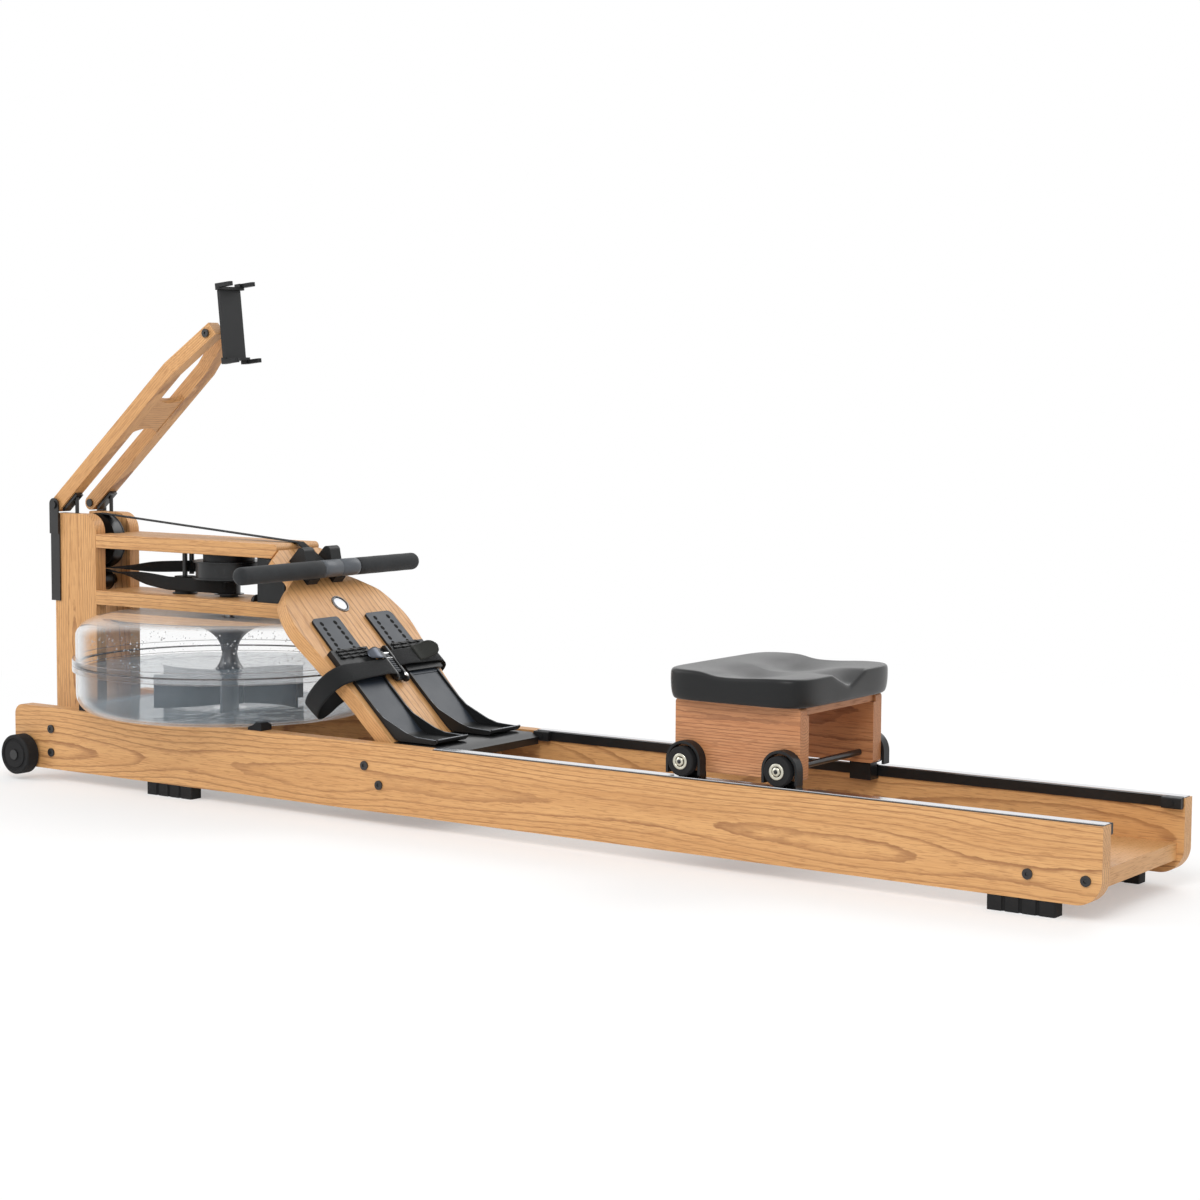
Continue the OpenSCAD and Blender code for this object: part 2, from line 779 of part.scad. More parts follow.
module heel_rest() {
    along = [cos(board_angle), sin(board_angle)];
    up = [-sin(board_angle), cos(board_angle)];
    c = [heel_u, rest_n + heel_r];
    low = c + heel_r * [cos(shelf_turn), -sin(shelf_turn)];
    end = low + shelf_len * along;
    curl = end + curl_r * up;
    a = board_angle - 90;
    top_end = -cup_len - 4;
    heel_tongue();
    slab(cup_in, cup_w) polygon(concat([[top_end, rest_n]], arc(c, heel_r, -90, -shelf_turn, 6),
        arc(curl, curl_r, a, a + 70, 5), arc(curl, curl_r - cup_wall, a + 70, a, 5),
        arc(c, heel_r - cup_wall, -shelf_turn, -90, 6), [[top_end, rest_n + cup_wall]]));
    for (y = [cup_in, cup_out - cup_wall]) slab(y, cup_wall)
        polygon(concat([[top_end, rest_n]], arc(c, heel_r, -90, -shelf_turn, 6),
            [end + 2 * along, end + 4 * along + 7 * up, low + 30 * along + 9 * up, low + 8 * along + 15 * up,
                [heel_u - 30, rail_n + 2], [-cup_len + cup_travel, rail_n], [top_end, rail_n]]));
}

module right_heel_rest() {
    color(slate) on_board() heel_rest();
}

module left_heel_rest() {
    color(slate) on_board() mirror([0, 1, 0]) heel_rest();
}

// The tank: two clear shells joined at their flanges
module at_tank(z = 0) {
    behind(tank_x, z) children();
}

seal_z = flange_z + flange_t;
upper_z = seal_z + seal_t;
upper_flange_top = upper_z + flange_t;

function tank_low(off) = let (r = tank_low_r - off)
    concat([[0, tank_z + off]], arc([tank_r - tank_low_r, tank_z + tank_low_r], r, -90, 0, 9));

function tank_high(off) =
    oval([tank_top_r, tank_top - shoulder_h], tank_r - tank_top_r - off, shoulder_h - off, 0, 90, 10);

module tank_lower_shell() {
    inner = tank_low(tank_wall);
    n = len(inner);
    color(clear) at_tank() rotate_extrude($fn = 96) polygon(concat(
        tank_low(0), [[tank_r, flange_z], [flange_r, flange_z], [flange_r, seal_z],
            [tank_r - tank_wall, seal_z]],
        [for (i = [n - 1:-1:1]) inner[i]],
        [[socket_out, tank_z + tank_wall], [socket_out, tank_z + tank_wall + 8],
            [socket_in, tank_z + tank_wall + 8], [socket_in, tank_z + tank_wall], [0, tank_z + tank_wall]]));
}

socket_in = shaft_d / 2 + run_clear;
socket_out = socket_in + 6;

module tank_upper_shell() {
    inner = tank_high(tank_wall);
    n = len(inner);
    neck = shaft_d / 2 + 2;
    color(clear) at_tank() rotate_extrude($fn = 96) polygon(concat(
        [[tank_r - tank_wall, upper_z], [flange_r, upper_z], [flange_r, upper_flange_top],
            [tank_r, upper_flange_top]],
        tank_high(0), [[neck, tank_top], [neck, tank_top - tank_wall]],
        [for (i = [n - 1:-1:0]) inner[i]]));
}

module tank_seal() {
    color(coal) at_tank(seal_z) difference() {
        cylinder(r = flange_r - 1.5, h = seal_t, $fn = 96);
        translate([0, 0, -1]) cylinder(r = tank_r - tank_wall, h = seal_t + 2, $fn = 96);
    }
}

module tank_pads() {
    pad_x = tank_r - 66;
    pad_len = 30;
    color(coal) difference() {
        both_sides() for (x = [-pad_x, pad_x])
            behind(tank_x + x - pad_len / 2, rail_top) translate([0, rail_in, 0])
                cube([pad_len, rail_t, 14]);
        at_tank() rotate_extrude($fn = 96) polygon(concat(tank_low(-move_gap), [[tank_r + move_gap, 400], [0, 400]]));
    }
}

// The water stands round the impeller's swept space
module water() {
    sweep_r = paddle_r + 3;
    inner = tank_low(tank_wall + move_gap);
    color(pool) at_tank() difference() {
        rotate_extrude($fn = 96) polygon(concat(inner, [[tank_r - tank_wall - move_gap, water_z], [0, water_z]]));
        translate([0, 0, tank_z]) cylinder(r = sweep_r, h = water_z, $fn = 96);
    }
}

hub_z = tank_z + tank_wall + 8 + move_gap;

module impeller() {
    hub_r = 26;
    neck_r = 13;
    horn_r = 62;
    horn_top = tank_top - tank_wall - 3;
    color(coal) at_tank() difference() {
        union() {
            rotate_extrude() polygon(concat([[0, hub_z], [hub_r, hub_z], [hub_r, hub_z + paddle_h - 10]],
                oval([hub_r + 8, hub_z + paddle_h + 38], hub_r + 8 - neck_r, 38, 250, 180, 6),
                oval([horn_r, horn_top - 46], horn_r - neck_r, 44, 180, 90, 8),
                [[horn_r, horn_top], [0, horn_top]]));
            for (i = [0:paddle_count - 1]) rotate([0, 0, i * 360 / paddle_count])
                translate([0, 0, hub_z]) linear_extrude(paddle_h) paddle();
        }
        translate([0, 0, hub_z - 1]) cylinder(d = shaft_d + 2 * run_clear, h = tank_top);
    }
}

// A curved paddle in plan, hollow towards its direction of travel
module paddle() {
    bow = paddle_r * 0.9;
    reach = paddle_r / 2 + 10;
    root = 12;
    centre = [reach, paddle_t / 2 - sqrt(bow * bow - reach * reach)];
    a = acos((paddle_r - reach - 8) / bow);
    b = 180 - acos((reach - root) / bow);
    polygon(concat(arc(centre, bow, a, b, 10), arc(centre, bow - paddle_t, b, a, 10)));
}

// The drive: shaft, bearings, strap drum and recoil spool on one upright axis
boss_h = 4.2;
spool_z = lower_deck_top + boss_h + move_gap;
drum_z = spool_z + spool_h;
cap_z = drum_z + drum_h + move_gap;
shaft_z = tank_z + tank_wall + move_gap;
shaft_top = cap_z + 8;

module drive_shaft() {
    color(steel) at_tank(shaft_z) rotate_extrude() polygon([[0, 0], [shaft_d / 2 - 1, 0],
        [shaft_d / 2, 1], [shaft_d / 2, shaft_top - shaft_z - 1], [shaft_d / 2 - 1, shaft_top - shaft_z],
        [0, shaft_top - shaft_z]]);
}

module shaft_bearings() {
    color(coal) at_tank() difference() {
        union() {
            translate([0, 0, lower_deck_top]) cylinder(r = 16, h = boss_h);
            translate([0, 0, cap_z]) cylinder(r = 45, h = upper_deck_z - cap_z);
        }
        translate([0, 0, lower_deck_top - 1]) cylinder(d = shaft_d + 2 * run_clear, h = shaft_top + 1 - lower_deck_top);
    }
}

module strap_drum() {
    rim = 2.5;
    color(coal) at_tank(drum_z) difference() {
        rotate_extrude($fn = 72) polygon([[0, 0], [drum_flange_r, 0], [drum_flange_r, rim],
            [drum_r, rim], [drum_r, drum_h - rim], [drum_flange_r, drum_h - rim],
            [drum_flange_r, drum_h], [0, drum_h]]);
        translate([0, 0, -1]) cylinder(d = shaft_d + 2 * run_clear, h = drum_h + 2);
    }
}

module recoil_spool() {
    rim = 1.5;
    color(coal) at_tank(spool_z) difference() {
        rotate_extrude() polygon([[0, 0], [spool_r + 6, 0], [spool_r + 6, rim], [spool_r, rim],
            [spool_r, spool_h - rim], [spool_r + 6, spool_h - rim], [spool_r + 6, spool_h], [0, spool_h]]);
        translate([0, 0, -1]) cylinder(d = shaft_d + 2 * run_clear, h = spool_h + 2);
    }
}

// The guide roller turns on a post between the decks, beside a second post
roller_h = 31;

module guide_roller() {
    rim = 2;
    color(coal) behind(guide_x, lower_deck_top + move_gap) difference() {
        rotate_extrude() polygon([[0, 0], [roller_r + 4, 0], [roller_r + 4, rim], [roller_r, rim],
            [roller_r, roller_h - rim], [roller_r + 1, roller_h], [0, roller_h]]);
        translate([0, 0, -1]) cylinder(d = post_d + 2 * run_clear, h = roller_h + 2);
    }
}

post_gap = 8;

module guide_posts() {
    color(steel) behind(guide_x, lower_deck_top) {
        cylinder(d = post_d, h = upper_deck_z - lower_deck_top);
        translate([0, post_d + post_gap, roller_h + 3])
            cylinder(d = post_d, h = upper_deck_z - lower_deck_top - roller_h - 3);
    }
}

// A pulley about the Y axis with a crowned groove and a bore
module pulley(r, w, lip) {
    rotate([90, 0, 0]) difference() {
        rotate_extrude($fn = 72) polygon([[0, -w / 2], [r + lip, -w / 2], [r + lip, -w / 2 + 1.5],
            [r, -w / 2 + 1.5], [r, w / 2 - 1.5], [r + lip, w / 2 - 1.5], [r + lip, w / 2], [0, w / 2]]);
        translate([0, 0, -w]) cylinder(d = axle_d + 2 * run_clear, h = 2 * w);
    }
}

module top_pulley() {
    holes = 6;
    color(coal) behind(pulley_x, pulley_z) difference() {
        pulley(pulley_r, pulley_w, strap_t - 0.5);
        for (i = [0:holes - 1]) rotate([0, i * 360 / holes, 0]) translate([pulley_r * 0.58, 0, 0])
            rod_y(pulley_r * 0.36, -pulley_w, pulley_w);
    }
}

module recoil_pulley() {
    color(coal) behind(pulley_x, recoil_z) pulley(recoil_r, recoil_w + 5, 1);
}

// Steel axles, with collars that keep the pulleys in the middle
cord_z = 75;
cord_bend = 22;
cord_grip = 18;
sheave_z = cord_z + cord_bend;

module axle_with_collars(w) {
    rod_y(axle_d, -upright_in - axle_seat, upright_in + axle_seat);
    both_sides() rod_y(axle_d + 6, w / 2 + move_gap, upright_in);
}

module steel_axles() {
    color(steel) {
        behind(pulley_x, pulley_z) axle_with_collars(pulley_w);
        behind(pulley_x, recoil_z) axle_with_collars(recoil_w + 5);
        behind(pulley_x, sheave_z) rod_y(2 * (cord_bend - bungee_d / 2 - move_gap), -upright_in, upright_in);
        both_sides() behind(roll_x, roll_z) {
            rod_y(axle_d, rail_in, roll_out);
            rod_y(axle_d + 6, roll_out, roll_out + 2);
        }
    }
}

// The pull strap: off the drum, past the guide posts, round the top pulley, over the deck
// and down to the handle
strap_y = post_d / 2 + (post_gap - strap_t) / 2;
pull_r = drum_r + move_gap;
wrap_step = 15;
top_r = (pulley_r + move_gap) / cos(wrap_step / 2);
drum_mid = drum_z + drum_h / 2;
handle_at = on_slope(-handle_s, handle_off);
deck_edge = [on_slope(-board_len, 0)[0] + 2, upper_deck_top + move_gap + 0.4];

function in_row(p) = [p[0] + rail_front, p[1], p[2]];

drum_touch = 180 - atan2(strap_y, tank_x - guide_x)
    - acos(pull_r / norm([tank_x - guide_x, strap_y]));
rise = atan2(upright_top - deck_edge[1], deck_edge[0] - pulley_x);
twist_steps = 8;
to_handle = atan2(deck_edge[1] - handle_at[1], handle_at[0] - deck_edge[0]);

pull_points = concat(
    [for (a = [drum_touch - 16, drum_touch - 8, drum_touch])
        [tank_x + pull_r * cos(a), pull_r * sin(a), drum_mid]],
    [[guide_x, strap_y, drum_mid]],
    [for (i = [1:twist_steps - 1]) let (t = i / twist_steps)
        [guide_x + (pulley_x + 8 - guide_x) * t, strap_y * (1 - t), drum_mid + (pulley_z - top_r - drum_mid) * t]],
    [for (a = [270:-wrap_step:90]) [pulley_x + top_r * cos(a), 0, pulley_z + top_r * sin(a)]],
    [[pulley_x + top_r * sin(rise), 0, pulley_z + top_r * cos(rise)]],
    [[deck_edge[0] - 6, 0, deck_edge[1] + 0.6], [deck_edge[0] + 1, 0, deck_edge[1] - 1]],
    [[handle_at[0] - (sleeve_d / 2 + 1) * cos(to_handle), 0, handle_at[1] + (sleeve_d / 2 + 1) * sin(to_handle)]]);

pull_across = [for (i = [0:len(pull_points) - 1])
    let (a = 90 * min(max((i - 3) / twist_steps, 0), 1)) [0, sin(a), cos(a)]];

module pull_strap() {
    color(coal) ribbon([for (p = pull_points) in_row(p)], pull_across, strap_w, strap_t);
}

// The recoil strap: off the spool, past the roller, over the recoil pulley and down
recoil_y = -(roller_r + 1 + move_gap + strap_t);
recoil_top = (recoil_r + move_gap) / cos(wrap_step / 2);
recoil_mid = spool_z + spool_h / 2;
recoil_x = guide_x - roller_r - 4;
crimp_z = lower_deck_z - 20;

recoil_points = concat(
    [[tank_x - 4, -(spool_r + move_gap + strap_t), recoil_mid], [guide_x + 2, recoil_y, recoil_mid],
        [recoil_x, recoil_y, recoil_mid]],
    [for (i = [1:twist_steps - 1]) let (t = i / twist_steps)
        [recoil_x + (pulley_x + 6 - recoil_x) * t, recoil_y * (1 - t), recoil_mid + (recoil_z + recoil_top - recoil_mid) * t]],
    [for (a = [90:wrap_step:180]) [pulley_x + recoil_top * cos(a), 0, recoil_z + recoil_top * sin(a)]],
    [[pulley_x - recoil_top, 0, crimp_z]]);

recoil_across = [for (i = [0:len(recoil_points) - 1])
    let (a = 90 * min(max((i - 2) / twist_steps, 0), 1)) [0, -sin(a), cos(a)]];

module recoil_strap() {
    color(coal) ribbon([for (p = recoil_points) in_row(p)], recoil_across, recoil_w, strap_t);
}

// The elastic cord: down between the uprights, under the tank and into the cleat
module bungee_cord() {
    crimp = 22;
    color(coal) {
        behind(pulley_x - cord_bend, sheave_z) cylinder(d = bungee_d, h = crimp_z - crimp - sheave_z);
        behind(pulley_x - cord_bend - 6, crimp_z - crimp) translate([0, -recoil_w / 2, 0])
            cube([12, recoil_w, crimp]);
        behind(pulley_x, sheave_z) rotate([90, 0, 0]) rotate([0, 0, 180]) rotate_extrude(angle = 90)
            translate([cord_bend, 0]) circle(d = bungee_d, $fn = 24);
        behind(pulley_x, cord_z) rotate([0, 90, 0])
            cylinder(d = bungee_d, h = slope_x(cord_z, -board_t - cleat_t) + cord_grip - pulley_x);
    }
}

module sensor_box() {
    x0 = tank_x + sensor_gap;
    x1 = x0 + sensor_len;
    gap = -board_t - move_gap;
    top = upper_deck_z - move_gap;
    color(coal) {
        slab(-sensor_w / 2, sensor_w) translate([rail_front, 0]) polygon([[x0, lower_deck_top],
            [x1, lower_deck_top], [x1, min(top, rail_top + (gap - (x1 - board_x) * sin(board_angle)) / cos(board_angle))],
            [min(x1, slope_x(top, gap)), top], [x0, top]]);
        behind(x0 - 12, lower_deck_top) translate([0, -sensor_w / 2 + 14, 0]) intersection() {
            sphere(r = 12);
            translate([-12, -12, 0]) cube([12.5, 24, 12]);
        }
    }
}

// Handle rests: a cradle under the handle and a horn above it
rest_y = 33;
rest_w = 26;

module handle_rests() {
    horn = [-handle_s - 37, handle_off + 3];
    horn_r = 8.5;
    color(coal) on_board() both_sides() slab(rest_y - rest_w / 2, rest_w) difference() {
        union() {
            polygon([[horn[0] - horn_r, 0], [-handle_s + 10, 0], [-handle_s + 9, handle_off - sleeve_d / 2],
                [-handle_s - sleeve_d / 2, handle_off - 2], [horn[0] + 3, horn[1] + horn_r - 0.5],
                [horn[0] - horn_r, horn[1]]]);
            translate(horn) circle(r = horn_r);
        }
        translate([-handle_s, handle_off]) circle(r = sleeve_d / 2 + move_gap);
    }
}

// Handle: a bar with a foam grip at each end and a sleeve in the middle
module at_handle() {
    behind(handle_at[0], handle_at[1]) children();
}

module handle_bar() {
    color(coal) at_handle() rod_y(bar_d, -handle_len / 2 + 6, handle_len / 2 - 6);
}

module handle_grip(len) {
    r = grip_d / 2;
    difference() {
        translate([0, handle_len / 2 - len, 0]) rotate([-90, 0, 0]) rotate_extrude() polygon(concat(
            [[0, 0], [r, 0]], arc([r - 9, len - 9], 9, 0, 90, 6), [[0, len]]));
        rod_y(bar_d, handle_len / 2 - len - 1, handle_len / 2 - 6);
    }
}

module handle_grips() {
    color(coal) at_handle() {
        handle_grip(right_grip_len);
        mirror([0, 1, 0]) handle_grip(left_grip_len);
    }
}

module centre_sleeve() {
    seam = 22;
    left = left_grip_len - handle_len / 2;
    right = handle_len / 2 - right_grip_len;
    color(slate) at_handle() difference() {
        rod_y(sleeve_d, left, right);
        rod_y(bar_d, left - 1, right + 1);
        rotate([90, 0, 0]) translate([0, 0, -seam]) rotate_extrude()
            translate([sleeve_d / 2 - 0.6, 0]) square([2, 1.5]);
    }
}

// Seat: two wooden side panels, a board, a cushion, and wheels on the tracks
axle_z = track_top + seat_wheel_r + move_gap;
panel_z = track_top + 7;
panel_out = panel_gap / 2 + panel_t;
wheel_y = rail_in + 1 + track_strip_w / 2;
seat_axle_d = 10;

module at_seat(x, z) {
    behind(seat_x + x, z) children();
}

module seat_panels() {
    drop = 30;
    color(red_oak) both_sides() difference() {
        slab(panel_gap / 2, panel_t) translate([rail_front + seat_x - panel_len / 2, panel_z])
            round_rect([panel_len, panel_h], 5);
        for (s = [-1, 1]) at_seat(s * axle_base / 2, axle_z)
            rod_y(seat_axle_d + 2 * bolt_clear, 0, panel_out + 1);
        translate([0, 0, panel_z + panel_h - seat_board_t]) at_seat(-panel_len / 2 - 1, 0)
            cube([panel_len + 2, panel_gap / 2 + 6, seat_board_t + 1]);
    }
}

module seat_board() {
    color(red_oak) at_seat(-panel_len / 2 + 4, panel_z + panel_h - seat_board_t)
        translate([0, -panel_gap / 2 - 6 + move_gap, 0])
            cube([panel_len - 8, panel_gap + 12 - 2 * move_gap, seat_board_t]);
}

module seat_axles() {
    color(steel) for (s = [-1, 1]) at_seat(s * axle_base / 2, axle_z) {
        rod_y(seat_axle_d, -wheel_y - seat_wheel_w / 2 - 2, wheel_y + seat_wheel_w / 2 + 2);
    }
}

module seat_wheel(s) {
    both_sides() at_seat(s * axle_base / 2, axle_z) translate([0, wheel_y, 0]) rotate([90, 0, 0]) difference() {
        rotate_extrude() polygon([[0, -seat_wheel_w / 2], [seat_wheel_r - 1.5, -seat_wheel_w / 2],
            [seat_wheel_r, -seat_wheel_w / 2 + 1.5], [seat_wheel_r, seat_wheel_w / 2 - 1.5],
            [seat_wheel_r - 1.5, seat_wheel_w / 2], [0, seat_wheel_w / 2]]);
        translate([0, 0, -seat_wheel_w]) cylinder(d = seat_axle_d + 2 * run_clear, h = 2 * seat_wheel_w);
    }
}

module front_seat_wheels() {
    color(slate) seat_wheel(-1);
}

module rear_seat_wheels() {
    color(slate) seat_wheel(1);
}

// Arched guards over the wheels, against the panels' outer faces
module wheel_guards() {
    outer = seat_wheel_r + 8;
    inner = seat_wheel_r + 4;
    low = axle_z - track_top - 3;
    width = wheel_y - panel_out;
    color(coal) both_sides() for (s = [-1, 1]) at_seat(s * axle_base / 2, axle_z) {
        slab(panel_out, width) difference() {
            union() {
                circle(r = outer);
                translate([-outer, -low]) square([2 * outer, low]);
            }
            circle(r = inner);
            translate([-inner, -low - 1]) square([2 * inner, low + 1]);
            translate([-outer - 1, -outer - 1]) square([2 * outer + 2, outer + 1 - low]);
        }
        difference() {
            rod_y(seat_axle_d * 2.2, panel_out, wheel_y - seat_wheel_w / 2 - move_gap);
            rod_y(seat_axle_d + 2 * bolt_clear, panel_out - 1, wheel_y);
        }
    }
}

// Clips under the panels hook below the track flanges
module seat_clips() {
    clip_len = 36;
    lip = 3.5;
    low = rail_top - track_flange_h - move_gap - lip;
    reach = rail_in - 2;
    color(coal) both_sides() for (s = [-1, 1]) at_seat(s * axle_base / 2 - clip_len / 2, 0)
        rotate([90, 0, 90]) linear_extrude(clip_len) polygon([[panel_out - 20, panel_z],
            [panel_out - 20, low], [reach, low], [reach, low + lip], [panel_out, low + lip], [panel_out, panel_z]]);
}

// Cushion: crowned, with drawn-in sides, a rear notch and two hollows
function cushion_top(x, y) =
    let (u = 2 * x / cushion_len, v = 2 * y / cushion_w,
        lip = 6.5 / (1 + exp((x + 38) / 7.5)), rise = 3.5 / (1 + exp((38 - x) / 14)),
        hollow = 6 * exp(-pow((x + 6) / 52, 2) - pow((abs(y) - 58) / 40, 2)),
        dish = 5 * exp(-pow((x + 2) / 70, 2)) * (1 - pow(min(1, abs(v)), 4)),
        notch = 22 * max(0, 1 - sqrt(y * y + 30) / 50) * exp(-pow((cushion_len / 2 - x) / 44, 2)),
        round_off = 4 * (pow(abs(u), 14) + pow(abs(v), 18)))
        cushion_h - 5.5 + lip + rise - hollow - dish - notch - round_off;

module seat_cushion() {
    nx = 22;
    ny = 26;
    z0 = panel_z + panel_h + move_gap;
    function plan(i, j, k) =
        let (u = 2 * i / nx - 1, v = 2 * j / ny - 1,
            r = pow(pow(abs(u), 7) + pow(abs(v), 7), 1 / 7), m = max(abs(u), abs(v)),
            f = m == 0 ? 1 : m / r * k)
            [u * f * cushion_len / 2, v * f * cushion_w / 2];
    low = [for (i = [0:nx], j = [0:ny]) let (p = plan(i, j, 0.96)) [p[0], p[1], 0]];
    mid = [for (i = [0:nx], j = [0:ny]) let (p = plan(i, j, 1)) [p[0], p[1], cushion_top(p[0], p[1])]];
    n = (nx + 1) * (ny + 1);
    function at(i, j) = i * (ny + 1) + j;
    rim = concat([for (i = [0:nx - 1]) at(i, 0)], [for (j = [0:ny - 1]) at(nx, j)],
        [for (i = [nx:-1:1]) at(i, ny)], [for (j = [ny:-1:1]) at(0, j)]);
    belt = [for (r = rim) [mid[r][0], mid[r][1], mid[r][2] / 2]];
    m = len(rim);
    top_faces = [for (i = [0:nx - 1], j = [0:ny - 1])
        each [[n + at(i, j), n + at(i, j + 1), n + at(i + 1, j + 1)], [n + at(i, j), n + at(i + 1, j + 1), n + at(i + 1, j)]]];
    base_faces = [[for (i = [0:m - 1]) rim[i]]];
    side_faces = [for (i = [0:m - 1]) let (k = (i + 1) % m, a = 2 * n + i, b = 2 * n + k)
        each [[rim[i], a, rim[k]], [rim[k], a, b], [a, n + rim[i], b], [b, n + rim[i], n + rim[k]]]];
    color(coal) at_seat(1, z0) polyhedron(concat(low, mid, belt), concat(top_faces, base_faces, side_faces));
}

// Transport wheels at the front, outside the rails
roll_in = rail_out + 3;
roll_out = roll_in + roll_w + move_gap;

module transport_wheels() {
    color(slate) both_sides() behind(roll_x, roll_z) translate([0, roll_in, 0]) rotate([-90, 0, 0]) difference() {
        rotate_extrude($fn = 72) polygon([[0, 0], [roll_r - 2, 0], [roll_r, 2], [roll_r, roll_w - 2],
            [roll_r - 2, roll_w], [roll_r - 6, roll_w], [roll_r - 7, roll_w - 2], [roll_r - 11, roll_w - 2],
            [roll_r - 12, roll_w], [0, roll_w]]);
        translate([0, 0, -1]) cylinder(d = axle_d + 2 * run_clear, h = roll_w + 2);
    }
}

// Steel brackets carry the arms' pivots above the uprights
module bracket_strip(z0, z1, round_top) {
    translate([rail_front + pivot_x - arm_r + 2, 0]) {
        translate([0, z0]) square([bracket_w, z1 - z0 - (round_top ? bracket_w / 2 : 0)]);
        if (round_top) translate([bracket_w / 2, z1 - bracket_w / 2]) circle(d = bracket_w);
    }
}

module arm_brackets() {
    strip_low = lower_deck_z + 2;
    lap_z = upper_deck_z + 22;
    color(coal) both_sides() difference() {
        union() {
            slab(upright_out, bracket_t) bracket_strip(strip_low, upright_top - 1, false);
            slab(bracket_in, bracket_t) bracket_strip(lap_z, pivot_z + 12, true);
        }
        behind(pivot_x, pivot_z) rod_y(pivot_d + 2 * bolt_clear, upright_out - 1, bracket_out + 1);
    }
}

// Stay rods stand in the uprights and carry flat shoes along the arms' undersides
module arm_stays() {
    shoe_t = 6;
    shoe_w = 16;
    shoe_x = 4;
    off = arm_r + move_gap + shoe_t / 2;
    meet = (stay_x - pivot_x - off * sin(arm_angle)) / cos(arm_angle);
    meet_z = pivot_z + meet * sin(arm_angle) - off * cos(arm_angle);
    color(coal) both_sides() {
        behind(stay_x, upright_top - stay_depth) translate([0, stay_y, 0])
            cylinder(d = stay_d, h = meet_z - upright_top + stay_depth);
        on_arms(shoe_x, -off - shoe_t / 2) translate([0, stay_y - shoe_w / 2, 0])
            cube([meet + 8 - shoe_x, shoe_w, shoe_t]);
    }
}

// Children lie along the arms: X from the pivot, Z across their face width
module on_arms(u = 0, v = 0) {
    behind(pivot_x, pivot_z) rotate([0, -arm_angle, 0]) translate([u, 0, v]) children();
}

arm_tip = 13;

module tablet_arm() {
    run = arm_len + arm_tip - arm_straight;
    drift = run * tan(arm_bend);
    difference() {
        intersection() {
            translate([0, 0, -arm_r]) linear_extrude(arm_w) polygon([[-arm_r, upright_in], [-arm_r, upright_out],
                [arm_straight, upright_out], [arm_straight + run, upright_out - drift],
                [arm_straight + run, upright_in - drift], [arm_straight, upright_in]]);
            union() {
                rod_y(arm_w, 0, upright_out + 1);
                translate([0, 0, -arm_r]) cube([arm_len + arm_tip, upright_out + 1, arm_w]);
            }
        }
        rod_y(pivot_d + 2 * run_clear, 0, upright_out + 1);
        translate([arm_len, 0, 0]) rod_y(tilt_d + 2 * bolt_clear, 0, upright_out + 1);
    }
}

module tablet_arms() {
    color(oak) on_arms() both_sides() tablet_arm();
}

// A brace with hollow ends joins the arms
module arm_brace() {
    brace_x = 212;
    brace_len = 99;
    brace_t = 12;
    hollow_r = 48;
    color(oak) on_arms(0, -arm_r + 1) linear_extrude(brace_t) difference() {
        translate([brace_x, -upright_in]) square([brace_len, upright_gap]);
        for (x = [brace_x - hollow_r + 14, brace_x + brace_len + hollow_r - 14])
            translate([x, 0]) circle(r = hollow_r);
    }
}

// The tilt bolt joins the arms' tips through the holder's lug
tilt_d = 6;
tip_half = upright_in - (arm_len - arm_straight) * tan(arm_bend);
tip_out = tip_half + upright_t;
lug_t = 2 * (tip_half - arm_tip * tan(arm_bend) - move_gap);

module tilt_bolt() {
    color(coal) on_arms(arm_len) {
        difference() {
            union() {
                rod_y(tilt_d, -tip_out - 3, tip_out + 3);
                both_sides() rod_y(tilt_d * 2.5, tip_out + 2, tip_out + 5);
                both_sides() rod_y(tilt_d * 1.8, lug_t / 2 + move_gap, tip_half - tilt_d * tan(arm_bend));
            }
            translate([0, -tip_out - 3.5, 0]) rotate([90, 0, 0]) cylinder(d = tilt_d * 0.8, h = 3, $fn = 6);
        }
    }
}

// Tablet holder: a lug on the tilt bolt, a back plate and two forked clamps
tilt_x = pivot_x + arm_len * cos(arm_angle);
tilt_z = pivot_z + arm_len * sin(arm_angle);
holder_off = 34;
holder_low = 46;

module at_holder(z = 0) {
    behind(tilt_x, tilt_z) rotate([0, -holder_lean, 0]) translate([0, 0, z]) children();
}

module clamp_fork(body_h) {
    prong_w = 10;
    prong_t = 7;
    floor_t = 5;
    wide = holder_w + 14;
    dip = holder_w - 14;
    translate([holder_off - holder_t, 0, 0]) difference() {
        rotate([0, 0, 90]) translate([-wide / 2, -holder_t - 6, 0]) linear_extrude(body_h)
            round_rect([wide, holder_t + 6], 5);
        translate([-1, -dip / 2, floor_t]) cube([holder_t + 8, dip, body_h]);
    }
    both_sides() translate([holder_off, wide / 2 - prong_w / 2, body_h - prong_t]) {
        translate([0, -prong_w / 2, 0]) cube([prong_len - prong_w / 2, prong_w, prong_t]);
        translate([prong_len - prong_w / 2, 0, 0]) cylinder(d = prong_w, h = prong_t);
    }
}

module holder_plate() {
    lug_r = 10;
    color(coal) at_holder() {
        difference() {
            translate([holder_off - holder_t, -holder_w / 2, -holder_low])
                cube([holder_t, holder_w, holder_h]);
            clamp_rods(clamp_rod_d + 2 * run_clear, clamp_rod_len + 1);
        }
        difference() {
            union() {
                rod_y(2 * lug_r, -lug_t / 2, lug_t / 2);
                translate([0, -lug_t / 2, -lug_r]) cube([holder_off - holder_t, lug_t, 2 * lug_r]);
            }
            rod_y(tilt_d + 2 * run_clear, -lug_t, lug_t);
        }
        translate([0, 0, -holder_low]) mirror([0, 0, 1]) clamp_fork(11);
    }
}

// Rods on the upper clamp run in bores down the plate
clamp_rod_d = 3.5;
clamp_rod_len = clamp_travel + 14;

